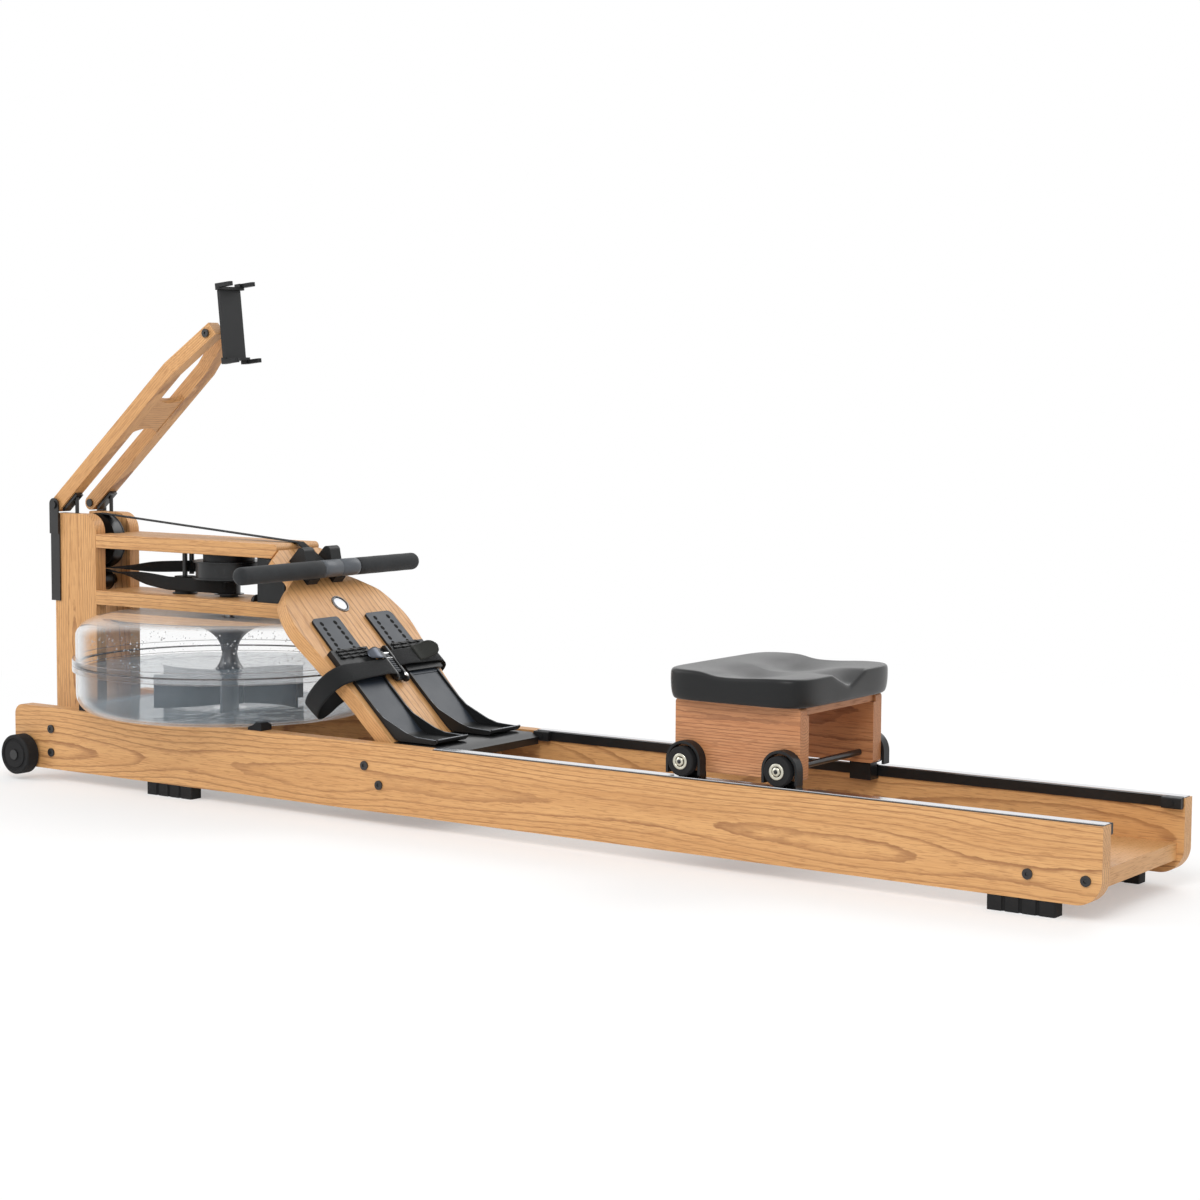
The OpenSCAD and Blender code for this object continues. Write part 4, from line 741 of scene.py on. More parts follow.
def smooth_tree():
    """Smooth faces, with edges left sharp where they turn by more than the limit."""
    name = "Smooth by edge angle"
    if name in bpy.data.node_groups:
        return bpy.data.node_groups[name]
    tree = geometry_group(name)
    into = node(tree, "NodeGroupInput").outputs
    angle = node(tree, "GeometryNodeInputMeshEdgeAngle").outputs["Unsigned Angle"]
    pair = [angle, math.radians(32)]
    limit = node(tree, "FunctionNodeCompare", {"operation": "LESS_EQUAL"}, pair)
    kind = "GeometryNodeSetShadeSmooth"
    faces = node(tree, kind, {"domain": "FACE"}, {"Geometry": into[0]})
    inputs = {"Geometry": faces.outputs[0], "Shade Smooth": limit.outputs[0]}
    edges = node(tree, kind, {"domain": "EDGE"}, inputs)
    node(tree, "NodeGroupOutput", None, [edges.outputs[0]])
    return tree


# Places on the machine


def middle(name):
    """The centre of a CAD node's box."""
    low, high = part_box(name)
    return (low + high) / 2


RAIL_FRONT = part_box("left_rail")[0].x
RAIL_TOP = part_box("left_rail")[1].z
TANK = middle("tank_lower_shell")
HANDLE = middle("handle_bar")
SEAT = middle("seat_panels")
SLOPE, ARM_SLOPE = math.radians(44.1), math.radians(41)
SLOPE_RUN = 0.8439
SLOPE_FOOT = Vector((RAIL_FRONT + SLOPE_RUN, 0, RAIL_TOP))
DOWN = Vector((math.cos(SLOPE), 0, -math.sin(SLOPE)))
OFF = Vector((math.sin(SLOPE), 0, math.cos(SLOPE)))


def on_board(down, across, off):
    """A point of the footboard in millimetres: down its slope, across it, off its face."""
    return SLOPE_FOOT + (DOWN * down + Y * across + OFF * off) * MM


# Carried parts


def dress(name, material, edge=0.0):
    """Gives a carried CAD part its material, smooth rounds and, if asked, eased edges."""
    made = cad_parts[name]
    made.data.materials.clear()
    made.data.materials.append(material)
    modifier(made, "Weld", "WELD", merge_threshold=0.00001)
    if edge:
        flat = {"decimate_type": "DISSOLVE", "angle_limit": math.radians(0.6)}
        modifier(made, "Planar", "DECIMATE", **flat)
        bevel(made, edge, 38, harden_normals=True)
    else:
        modifier(made, "Smooth", "NODES", node_group=smooth_tree())
    return made


class ROWER_OT_boards(Step, bpy.types.Operator):
    """Oak on the rails, boards, uprights, arms and seat panels"""

    bl_idname = "rower.boards"
    bl_label = "Boards"

    def build(self, c, s):
        honey = (c.oak_light, c.oak_mid, c.oak_dark)
        red = (c.red_light, c.red_mid, c.red_dark)
        rail_y, rail_z = abs(middle("left_rail").y), middle("left_rail").z
        ahead, back, aside = (0, 0, 0), (0, 0, math.pi), (0, 0, math.pi / 2)
        flat, upright = (math.pi / 2, 0, math.pi / 2), (0, -math.pi / 2, 0)
        slope, arms = (0, SLOPE, 0), (0, -ARM_SLOPE, 0)
        woods = {
            "left_rail": (honey, (0.3, -rail_y, rail_z - 0.016), ahead, 0.07, 0.0056, 0.075),
            "right_rail": (honey, (-1.7, rail_y, rail_z + 0.01), back, 0.07, 0.0056, 0.06),
            "front_cross": (honey, (5, 0.3, 0.07), aside, 0.09, 0.0045, 0.03),
            "rear_deck": (honey, (3, 0.1, 0.2), flat, 0.2, 0.004, 0.02),
            "uprights": (honey, (RAIL_FRONT + 0.05, 0.04, 1.3), upright, 0.12, 0.0042, 0.035),
            "upper_deck": (honey, (7, 0.3, 0.5), ahead, 0.5, 0.0044, 0.02),
            "lower_deck": (honey, (9, 0.35, 0.4), ahead, 0.5, 0.0044, 0.02),
            "footboard": (honey, (2, 0.5, -0.4), slope, 0.9, 0.0046, 0.025),
            "footboard_cleat": (honey, (1, 2, 0.2), aside, 0.09, 0.0045, 0.03),
            "tablet_arms": (honey, (11, 0.1, 0.8), arms, 0.09, 0.0042, 0.03),
            "arm_brace": (honey, (13, 0.2, 0.6), aside, 0.09, 0.0042, 0.03),
            "seat_panels": (red, (1.2, 0.0, SEAT.z + 0.03), ahead, 0.11, 0.0044, 0.05),
            "seat_board": (red, (4.2, 0.3, 0.2), aside, 0.09, 0.0044, 0.03),
        }
        for name, grain in woods.items():
            dress(name, oak("Oak_" + name, *grain), s.edge)


class ROWER_OT_plain_parts(Step, bpy.types.Operator):
    """Plastic, rubber, steel and paint on the parts that are carried as they are"""

    bl_idname = "rower.plain_parts"
    bl_label = "Plastic and metal parts"

    def build(self, c, s):
        parts = {
            moulded("Black_plastic", c.plastic):
                "strap_anchors toe_buckles sensor_box handle_rests holder_plate top_clamp"
                " shaft_bearings guide_roller track_stops wheel_guards",
            moulded("Satin_black", c.plastic, 0.3, 0.15, 0.2):
                "track_bases strap_drum recoil_spool top_pulley recoil_pulley seat_clips"
                " heel_wedge",
            rubber("Rubber", c.rubber):
                "rail_feet tank_pads tank_seal front_seat_wheels rear_seat_wheels"
                " transport_wheels",
            metal("Brushed_steel", shade(196, 198, 200), 0.3, (1, 0.02, 1)):
                "drive_shaft handle_bar",
            metal("Bright_strip", shade(224, 225, 228), 0.14, (0.01, 1, 1)): "track_strips",
            metal("Spun_silver", shade(178, 180, 184), 0.4): "badge_disc",
            powder_coat("Powder_coat", shade(18, 18, 19)):
                "steel_axles frame_bolts tilt_bolt arm_stays seat_axles arm_brackets"
                " guide_posts",
        }
        for material, names in parts.items():
            for name in names.split():
                dress(name, material)


# Cushion and handle

CUSHION_SWELL = 9
GRIP_TIP, SLEEVE_SEAM = 0.0115, 0.046


def cushion_height(x, y, half_x, half_y):
    """Height of the moulded top in millimetres above its base: a front lip that runs out
    to both sides, a dish with two hollows and a V notch at the rear."""
    lip = 6.5 / (1 + math.exp((x + 38) / 7.5))
    rise = 3.5 / (1 + math.exp(-(x - 38) / 14))
    hollow = math.exp(-(((x + 6) / 52) ** 2) - ((abs(y) - 58) / 40) ** 2)
    dish = 5.0 * math.exp(-(((x + 2) / 70) ** 2)) * (1 - min(1, abs(y) / half_y) ** 4)
    notch = 22 * max(0.0, 1 - (y * y + 30) ** 0.5 / 50) * math.exp(-(((half_x - x) / 44) ** 2))
    return 40.5 + lip + rise - 6 * hollow - dish - notch


class ROWER_OT_cushion(Step, bpy.types.Operator):
    """The moulded seat cushion"""

    bl_idname = "rower.cushion"
    bl_label = "Seat cushion"

    def build(self, c, s):
        low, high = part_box("seat_cushion")
        centre = (low + high) / 2
        half_x = (high.x - low.x) / 2 / MM + CUSHION_SWELL
        half_y = (high.y - low.y) / 2 / MM + CUSHION_SWELL
        around, rings = 160, 22
        rim = [(x, y, (abs(x) ** 7 + abs(y) ** 7) ** (-1 / 7)) for x, y in circle(around)]
        verts = [(centre.x, centre.y, low.z + cushion_height(0, 0, half_x, half_y) * MM)]

        def ring(scale, drop=0.0, share=1.0):
            for c, s, r in rim:
                x, y = c * r * scale * half_x, s * r * scale * half_y
                z = cushion_height(x, y, half_x, half_y) * share - drop
                verts.append((centre.x + x * MM, centre.y + y * MM, low.z + z * MM))

        for i in range(1, rings + 1):
            ring(0.955 * i / rings)
        for scale, drop in ((0.972, 0.35), (0.985, 1.5), (0.994, 3.4), (0.999, 6.2)):
            ring(scale, drop)
        side = ((1.0, 0.7), (0.999, 0.5), (0.994, 0.3), (0.985, 0.14), (0.972, 0.045), (0.955, 0))
        for scale, share in (*side, (0.8, 0), (0.4, 0)):
            ring(scale, 0.0, share)
        faces = [(0, 1 + k, 1 + (k + 1) % around) for k in range(around)]
        faces += bands((len(verts) - 1) // around, around, 1)
        faces.append(tuple(range(len(verts) - around, len(verts)))[::-1])
        made = soften(piece("Seat_cushion", verts, faces))
        skin = cushion_skin("Cushion_skin", c.cushion)
        finish_piece(made, skin, "cushion", "seat", "seat_cushion")


class ROWER_OT_handle(Step, bpy.types.Operator):
    """Foam grips and the sleeve between them"""

    bl_idname = "rower.handle"
    bl_label = "Handle"

    def build(self, c, s):
        low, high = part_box("centre_sleeve")
        grip_low, grip_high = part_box("handle_grips")
        end, radius = grip_high.y, (grip_high.z - grip_low.z) / 2
        tip, grips = GRIP_TIP, []
        for inner, way in ((low.y, -1), (high.y, 1)):
            run = end - abs(inner)
            profile = [(0.0004, 0.0), (0.0004, radius - 0.0022), (0.0012, radius - 0.0007)]
            profile.append((0.003, radius))
            waves = range(3, 22)
            profile += [(run * k / 24, radius * (1 + 0.006 * math.sin(k * 0.9))) for k in waves]
            for a in (math.pi / 2 * k / 8 for k in range(9)):
                profile.append((run - tip + tip * math.sin(a), radius - tip + tip * math.cos(a)))
            profile.append((run, 0.0))
            grips.append(turned_piece("Grip", profile, (HANDLE.x, inner, HANDLE.z), Y * way, 48))
        made = joined("Handle_grips", grips)
        finish_piece(made, foam("Grip_foam", c.foam), "foam", "handle", "handle_grips")
        seam, span, r = SLEEVE_SEAM, high.y - low.y, (high.z - low.z) / 2
        start = [(0.0, r - 0.004), (0.0, r - 0.0008), (0.0008, r - 0.0001), (0.008, r)]
        groove = [(seam - 0.0012, r), (seam - 0.0004, r - 0.0011)]
        groove += [(2 * seam - along, depth) for along, depth in reversed(groove)]
        profile = start + groove + [(span - along, depth) for along, depth in reversed(start)]
        sleeve = turned_piece("Handle_sleeve", profile, (HANDLE.x, low.y, HANDLE.z), Y)
        finish = moulded("Sleeve_plastic", shade(84, 88, 93), 0.42, 0.4)
        finish_piece(sleeve, finish, "grey_plastic", "handle", "centre_sleeve")


# Straps and the cord

STRAP = 1.5 * MM
HALF_STRAP = STRAP / 2
DRUM_RADIUS, SPOOL_RADIUS = 0.0583, 0.0203
TOP_GROOVE, RECOIL_GROOVE = 0.0488, 0.0183
GUIDE_RADIUS, ROLLER_RADIUS = 0.00775, 0.0193
DECK_EDGE, EDGE_LIFT, HANDLE_GAP = 0.5395, 0.0012, 0.0125
PULL_WIDTH, RECOIL_WIDTH = 0.020, 0.024
CORD_RADIUS, CORD_BEND, CORD_RUN, CORD_HEIGHT = 0.0045, 0.022, 0.0624, 0.097
CLAMP_HEIGHT = 0.022
PULLEY_X, PULLEY_Z = middle("top_pulley").x, middle("top_pulley").z
DRUM_Z = middle("strap_drum").z
RECOIL_Z = middle("recoil_pulley").z


def turned_arc(x, z, radius, start, stop):
    """Points round a centre in the XZ plane, in metres, angles in degrees."""
    count = max(2, round(abs(stop - start) / 6.0))
    angles = [math.radians(start + (stop - start) * k / count) for k in range(count + 1)]
    return [Vector((x + radius * math.cos(a), 0, z + radius * math.sin(a))) for a in angles]


def level_arc(x, z, radius, angles):
    """Points round a centre in a level plane, at angles in radians."""
    return [Vector((x + radius * math.cos(a), radius * math.sin(a), z)) for a in angles]


def twisted(first, last, start, stop):
    """A straight run whose width turns from one direction to another: points and widths."""
    line = resample([first, last], 0.01)
    share = [k / (len(line) - 1) for k in range(len(line))]
    eased_share = [s * s * (3 - 2 * s) for s in share]
    return line, [(start * (1 - t) + stop * t).normalized() for t in eased_share]


class ROWER_OT_drive_straps(Step, bpy.types.Operator):
    """The pull strap from the drum to the handle, the recoil strap and the elastic cord"""

    bl_idname = "rower.drive_straps"
    bl_label = "Drive straps and cord"

    def build(self, c, s):
        webbing = woven("Drive_webbing", c.webbing, s.weave)
        self.pull_strap(webbing)
        self.recoil_strap(webbing)
        self.cord(c)

    def run(self, name, width, first, start, stop, last, rest, webbing):
        """A strap that lies level on a drum, turns over and goes on round a pulley."""
        turned, turns = twisted(first[-1], start, Z, stop)
        path = first + turned[1:] + last[1:] + rest
        across = [Z] * len(first) + turns[1:]
        across += [stop] * (len(path) - len(across))
        made = tape(name, path, across, [width / 2] * len(path), STRAP, 8, 0.35)
        return finish_piece(made, webbing, "webbing", None, name.lower())

    def pull_strap(self, webbing):
        """Off the drum, between the posts, round the top pulley and down to the handle."""
        drum, off_drum = middle("strap_drum").x, DRUM_RADIUS + HALF_STRAP
        guide = Vector((middle("guide_posts").x, GUIDE_RADIUS + HALF_STRAP, DRUM_Z))
        reach = math.hypot(guide.x - drum, guide.y)
        touch = math.pi - math.atan2(guide.y, drum - guide.x) - math.acos(off_drum / reach)
        angles = [touch + math.radians(6 * k) for k in range(-8, 1)]
        path = level_arc(drum, DRUM_Z, off_drum, angles)
        path += resample([path[-1], guide], 0.012)[1:]
        wrap = TOP_GROOVE + HALF_STRAP
        edge = Vector((RAIL_FRONT + DECK_EDGE, 0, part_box("upper_deck")[1].z + EDGE_LIFT))
        rise = math.degrees(math.atan2(PULLEY_Z + wrap - edge.z, edge.x - PULLEY_X))
        over = turned_arc(PULLEY_X, PULLEY_Z, wrap, 270, 90 - rise)
        aim = Vector((HANDLE.x, 0, HANDLE.z))
        stop = aim - (aim - edge).normalized() * HANDLE_GAP
        bend = [edge + Vector((0.003, 0, 0.0002)), edge + Vector((0.006, 0, -0.0014))]
        tail = resample([over[-1], edge], 0.012)[1:] + bend
        tail += resample([bend[-1], stop], 0.004)[1:]
        below = Vector((PULLEY_X, 0, PULLEY_Z - wrap))
        made = self.run("Pull_strap", PULL_WIDTH, path, below, Y, over, tail, webbing)
        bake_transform(made)

    def recoil_strap(self, webbing):
        """Off the spool, past the roller, over the recoil pulley and down to the cord."""
        spool, roller = middle("recoil_spool"), middle("guide_roller")
        low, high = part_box("recoil_spool")
        off_spool = min((high.y - low.y) / 2, SPOOL_RADIUS) + HALF_STRAP
        beside = -(ROLLER_RADIUS + HALF_STRAP)
        angles = [math.radians(9 * k - 90) for k in range(8, -1, -1)]
        path = level_arc(spool.x, spool.z, off_spool, angles)
        path += resample([path[-1], Vector((roller.x, beside - 0.0003, spool.z))], 0.012)[1:]
        path.append(Vector((roller.x - 0.022, beside, spool.z)))
        wrap = RECOIL_GROOVE + HALF_STRAP
        over = turned_arc(PULLEY_X, RECOIL_Z, wrap, 90, 180)
        end = Vector((over[-1].x, 0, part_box("recoil_strap")[0].z))
        tail = resample([over[-1], end], 0.01)[1:]
        above = Vector((PULLEY_X, 0, RECOIL_Z + wrap))
        made = self.run("Recoil_strap", RECOIL_WIDTH, path, above, -Y, over, tail, webbing)
        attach(made, "frame")

    def cord(self, c):
        """The elastic cord in its braid, with the crimped clamp on its end."""
        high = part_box("bungee_cord")[1]
        x, z = RAIL_FRONT + CORD_RUN, CORD_HEIGHT
        top = Vector((x - CORD_BEND, 0, high.z - 0.004))
        path = resample([top, Vector((x - CORD_BEND, 0, z))], 0.012)
        path += turned_arc(x, z, CORD_BEND, 180, 270)[1:]
        path += resample([path[-1], Vector((high.x, 0, z - CORD_BEND))], 0.02)[1:]
        made = tube("Elastic_cord", path, CORD_RADIUS, 20)
        braid = woven("Cord_braid", c.webbing, 0.0022)
        finish_piece(made, braid, "webbing", "frame", "bungee_cord")
        place = Vector((top.x, 0, high.z))
        foot = (-0.006, -0.012, -CLAMP_HEIGHT)
        blocks = [box_piece("Clamp", foot, (0.006, 0.012, 0), origin=place)]
        half = Vector((0.0068, 0.0128, 0.0015))
        for k in (0.3, 0.7):
            blocks.append(box_piece("Rib", -half, half, origin=place - Z * CLAMP_HEIGHT * k))
        clamp = eased(joined("Cord_clamp", blocks), 0.0008)
        finish_piece(clamp, metal("Zinc", shade(150, 152, 155), 0.35), "steel", "frame")


# Foot rests, in millimetres on the footboard

REST_U = -12.6
PLATE_IN, CUP_IN, CUP_OUT, WALL = 35, 32, 110, 3
REST_END, REST_LONG, REST_HIGH = 30, 66, 31
CURL, CURL_RADIUS = math.radians(70), 10.5
HOLES, HOLE_START, HOLE_PITCH, HOLE_OFF = 6, -251, 11.5, 5.12
RIBS, RIB_START, RIB_PITCH, RIB_OFF = 3, -186, 7, 12.6
BOARD = frame_of(DOWN, OFF)


def tilted():
    """The shelf's own directions, along it and square to it, and its lower and upper ends, as
    place down the slope and off it."""
    along = Vector((math.cos(SLOPE), math.sin(SLOPE)))
    up = Vector((-along.y, along.x))
    low = Vector((REST_U, REST_HIGH)) + Vector((along.y, -along.x)) * REST_END
    return along, up, low, low + along * REST_LONG


def rest_wall():
    """The top edge of a heel rest's side wall as pairs of place down the slope and off it."""
    along, up, low, end = tilted()
    return [Vector((-64, 7)), Vector((REST_U - 30, 9)), low + along * 8 + up * 15,
            low + along * 30 + up * 9, end + along * 4 + up * 7]


def rest_curl():
    """The tip of the shelf's curl, as place down the slope and off it."""
    _, up, _, end = tilted()
    turn = SLOPE - math.pi / 2 + CURL
    return end + up * 12 + Vector((math.cos(turn), math.sin(turn))) * CURL_RADIUS


def heel_finish(name, grey, black):
    """Glossy grey where the channel and tongue face up the slope, black on walls and shelf."""
    coat = {"Coat_Weight": 0.05, "Coat_Roughness": 0.3}
    made = Finish(name, Roughness=0.3, Specular_IOR_Level=0.35, **coat)
    point = made.place()
    x, y, z = made.split(point)
    down = (x - SLOPE_FOOT.x) * DOWN.x + (z - SLOPE_FOOT.z) * DOWN.z
    nx, _, nz = made.split(made.node("ShaderNodeNewGeometry", output="Normal"))
    faces = (nx * OFF.x + nz * OFF.z).between(0.75, 0.95)
    inside = abs(y).between(0.0375, 0.0385) * (1 - abs(y).between(0.1035, 0.1045))
    tongue = 1 - down.between(-0.1225, -0.1215)
    upper = 1 - down.between((REST_U + 3) * MM, (REST_U + 6) * MM)
    cloudy = made.cloud(point, 26.0, 4.0, 0.6)
    tint = made.mix(cloudy, grey, toned(grey, 1.25))
    made.set("Base Color", made.mix(faces * upper * inside.higher(tongue), black, tint))
    made.set("Roughness", 0.36 + cloudy * 0.16)
    made.bump(made.cloud(point, 1400.0, 2.0), 0.0001, 0.3)
    return made.material


class ROWER_OT_foot_rests(Step, bpy.types.Operator):
    """Heel rests with painted highlight lines on their rims and painted shade in their holes, ribs
    on the strap anchors and the badge's ring
    """

    bl_idname = "rower.foot_rests"
    bl_label = "Foot rests"

    def build(self, c, s):
        finish = heel_finish("Heel_rest_plastic", c.cup, c.plastic)
        # Light grey for the painted highlight lines along the rests' rims
        rim_highlight = moulded("Rim_plastic", shade(120, 124, 129), 0.3, 0.1, 0.3)
        # Near black for the painted shade in the tongue's slots
        dark = moulded("Hole_dark", shade(4, 4, 4), 0.9, 0.2)
        for side, name in ((-1, "left"), (1, "right")):
            dress(name + "_heel_rest", finish)
            self.rims(name + "_rims", side, rim_highlight, name + "_rest")
            self.holes(name + "_holes", side, dark, name + "_rest")
        self.ribs(moulded("Anchor_ribs", c.plastic, 0.36, 0.2))
        self.badge()

    def rims(self, name, side, finish, body):
        """A painted highlight: a thin light grey line along each wall's top and round the shelf's
        curled end, where the light catches the edges.
        """
        parts = []
        for y in (CUP_IN + WALL / 2, CUP_OUT - WALL / 2):
            line = spline([on_board(p.x, side * y, p.y + 0.1) for p in rest_wall()], 8)
            parts.append(tube("Rim", line, 0.00075, 10))
        tip = rest_curl()
        curl = [on_board(tip.x, side * y, tip.y) for y in (CUP_IN + 1, CUP_OUT - 1)]
        parts.append(tube("Rim", resample(curl, 0.01), 0.0011, 10))
        finish_piece(joined(name, parts), finish, "grey_plastic", body)

    def holes(self, name, side, finish, body):
        """Painted shade in the tongue's two rows of slots: flat near-black ovals on the tongue's
        face for the dark inside them.
        """
        places = []
        for i in range(HOLES):
            for y in (PLATE_IN + 17 - 0.3 * i, PLATE_IN + 51 + 0.7 * i):
                place = on_board(HOLE_START + HOLE_PITCH * i, side * y, HOLE_OFF)
                places.append((place, BOARD))
        made = repeated(name, oval_disc("Slot", 0.0047, 0.0040), places, finish)
        finish_piece(made, finish, "black_plastic", body)

    def ribs(self, finish):
        """Wavy ribs across the upper half of each strap anchor."""
        parts, waves = [], 40
        for side in SIDES:
            for i in range(RIBS):
                line = []
                for k in range(waves + 1):
                    y = CUP_IN + 4 + (CUP_OUT - CUP_IN - 8) * k / waves
                    wave = 1.7 * math.sin(k / waves * 6.5 * math.pi + i)
                    line.append(on_board(RIB_PITCH * i + RIB_START + wave, side * y, RIB_OFF))
                parts.append(tube("Rib", line, 0.0014, 8))
        finish_piece(joined("Anchor_ribs", parts), finish, "black_plastic", "frame")

    def badge(self):
        """A dark ring round the edge of the plain disc."""
        low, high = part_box("badge_disc")
        radius = (high.y - low.y) / 2
        rim = ((0.0, 0.0001), (0.0008, 0.0001), (0.0013, 0.0008),
               (0.0013, 0.0034), (0.0004, 0.0042), (0.0, 0.0042))
        profile = [(along, radius - depth) for along, depth in rim]
        ring = turned_piece("Badge_ring", profile, (low + high) / 2 + OFF * 0.00078, OFF, 72)
        finish = moulded("Badge_ring", shade(18, 18, 19), 0.25, 0.1, 0.4)
        finish_piece(ring, finish, "black_plastic", "frame")


def oval_disc(name, half_long, half_wide, sides=28):
    """A flat oval with a low dome, facing Z, with its length along X."""
    verts = [(0, 0, 0.00012), *((half_long * c, half_wide * s, 0) for c, s in circle(sides))]
    return piece(name, verts, [(0, 1 + k, 1 + (k + 1) % sides) for k in range(sides)])


# Toe straps

OVER_REST = [(11, 15), (24, 17), (40, 17.5), (72, 16), (100, 15.2), (122, 13.5)]
NEAR_LOOP = [(141, 6), (152, -9), (156, -32), (152, -56), (141, -76), (127, -82), (116, -72),
             (109, -52), (98, -33)]
FAR_LOOP = [(137, 7), (149, -4), (153, -18), (149, -34), (134, -38), (116, -31)]
UNDER_BOARD = [(86, -27.6), (70, -27.4)]
TAB_LINE = [(66, 18.1), (76, 18.6), (86, 21), (97, 26), (112, 33.5)]
LEAF_LINE = [(-8, 13), (-18, 19), (-30, 21.5), (-42, 19.5), (-50, 17.6)]


def across_board(down, pairs, steps, side=1):
    """A smooth line across the board from pairs of place across it and off it."""
    return resample(spline([on_board(down, side * y, off) for y, off in pairs], steps))


class ROWER_OT_toe_straps(Step, bpy.types.Operator):
    """Toe straps with their stitches and tab, and the buckle between the feet"""

    bl_idname = "rower.toe_straps"
    bl_label = "Toe straps"

    def build(self, c, s):
        webbing = woven("Toe_webbing", c.webbing, s.weave)
        straps = []
        for side, down, loop in ((-1, -138, NEAR_LOOP), (1, -154, FAR_LOOP)):
            line = across_board(down, OVER_REST + loop + UNDER_BOARD, 7, side)
            leans = [math.sin(k * 0.11) * 0.10 if side < 0 else 0.04 for k in range(len(line))]
            widths = [DOWN + OFF * lean for lean in leans]
            straps.append(tape("Strap", line, widths, [0.017] * len(line), 0.0019, 10, 0.4))
        made = joined("Toe_straps", straps)
        finish_piece(made, webbing, "webbing", "frame", "toe_straps")
        self.tab(s)
        self.buckle(c)

    def tab(self, s):
        """The far strap's sewn end, which stands off it as a rounded tab."""
        line = across_board(-157, TAB_LINE, 8)
        reach = reaches(line)
        half, tip, hem = 0.0165, 0.018, 0.0022
        lefts = [min(reach[-1] - r, tip) for r in reach]
        halves = [max(half * math.sqrt(1 - ((tip - left) / tip) ** 2), 0.0004) for left in lefts]
        flap = tape("Strap_tab", line, [DOWN] * len(line), halves, 0.0026, 8, 0.5)
        webbing = woven("Tab_webbing", shade(38, 39, 36), s.weave)
        finish_piece(flap, webbing, "webbing", "frame")
        ways = tangents(line)
        edge = []
        for sign in (1, -1):
            for k in range(1, len(line))[::sign]:
                normal = ways[k].cross(DOWN)
                normal *= 1 if normal.dot(OFF) > 0 else -1
                edge.append(line[k] + DOWN * sign * max(halves[k] - hem, 0.0) + normal * 0.0014)
        edge.append(edge[0].copy())
        self.stitches("Tab_stitches", edge, s.thread)

    def stitches(self, name, line, pitch):
        """Short threads end to end along a line."""
        thread = moulded("Stitches", shade(70, 70, 68), 0.7, 0.2)
        bow = ((-0.36, -0.0002), (-0.2, 0.0002), (0.2, 0.0002), (0.36, -0.0002))
        shape = tube("Stitch", [(share * pitch, 0, z) for share, z in bow], 0.00042, 6)
        line = resample(line, pitch)
        pairs = [(a, b) for a, b in zip(line, line[1:]) if (b - a).length > 1e-6]
        made = repeated(name, shape, [((a + b) / 2, facing(OFF, b - a)) for a, b in pairs], thread)
        finish_piece(made, thread, "webbing", "frame")

    def buckle(self, c):
        """Side plates, a ribbed lever on steel pins, a rivet and the near strap's leaf."""
        black = moulded("Buckle_black", c.plastic, 0.3, 0.2, 0.2)
        grey = metal("Buckle_lever", shade(52, 54, 57), 0.36)
        bright = metal("Pin_steel", shade(222, 222, 222), 0.16)
        plates = ((-176, -116, -12, -7, 3, 16), (-186, -108, 8, 13, 3, 16),
                  (-172, -114, -8, 9, 1.5, 9), (-186, -170, -11, 12, 1.5, 8))
        body = eased(joined("Buckle_body", [capsule("Plate", *plate) for plate in plates]), 0.0009)
        finish_piece(body, black, "black_plastic", "frame", "toe_buckles")
        place = on_board(-166, -1, 10.5)
        lever = [box_piece("Lever", (0, -0.006, 0), (0.040, 0.006, 0.0035), BOARD, place)]
        for x in (0.0046 * k for k in range(8)):
            low, high = (0.004 + x, -0.006, 0.0032), (0.0062 + x, 0.006, 0.0046)
            lever.append(box_piece("Rib", low, high, BOARD, place))
        finish_piece(eased(joined("Buckle_lever", lever), 0.0004), grey, "silver", "frame")
        long = 0.028
        pin = [(0, 0), (0, 0.0021), (0.0006, 0.0026)]
        pin += [(long - along, radius) for along, radius in reversed(pin)]
        pins = [turned_piece("Pin", pin, on_board(u, -14, 12.5), Y, 20) for u in (-168, -157)]
        rivet = [(0, 0), (0, 0.0048), (0.0008, 0.0046), (0.002, 0.003), (0.0024, 0.0)]
        pins.append(turned_piece("Rivet", rivet, on_board(-118, 9, 15.6), OFF, 24))
        finish_piece(joined("Buckle_pins", pins), bright, "steel", "frame")
        line = across_board(-166, LEAF_LINE, 6)
        shares = [0.15 + 0.85 * k / (len(line) - 1) for k in range(len(line) - 1)]
        halves = [0.004 + 0.0085 * math.sin(math.pi * share) ** 0.6 for share in shares]
        leaf = tape("Strap_leaf", line, [DOWN] * len(line), [*halves, 0.002], 0.0016, 8, 0.5)
        finish_piece(leaf, metal("Leaf_metal", shade(78, 82, 90), 0.26), "silver", "frame")


def capsule(name, low, high, y0, y1, off0, off1, steps=8):
    """A plate along the slope with round ends, between two planes across the board."""
    radius = (off1 - off0) / 2
    outline = []
    for end, start in ((high - radius, -90), (low + radius, 90)):
        for k in range(steps + 1):
            a = math.radians(start + 180 * k / steps)
            outline.append((end + radius * math.cos(a), (off0 + off1) / 2 + radius * math.sin(a)))
    count = len(outline)
    verts = [on_board(u, y, off) for y in (y0, y1) for u, off in outline]
    ends = [tuple(range(count)), tuple(range(count, 2 * count))[::-1]]
    return piece(name, verts, ends + bands(2, count), False)


# Small hardware

TREAD_INSET, TREAD_HALF = 0.0125, 0.007


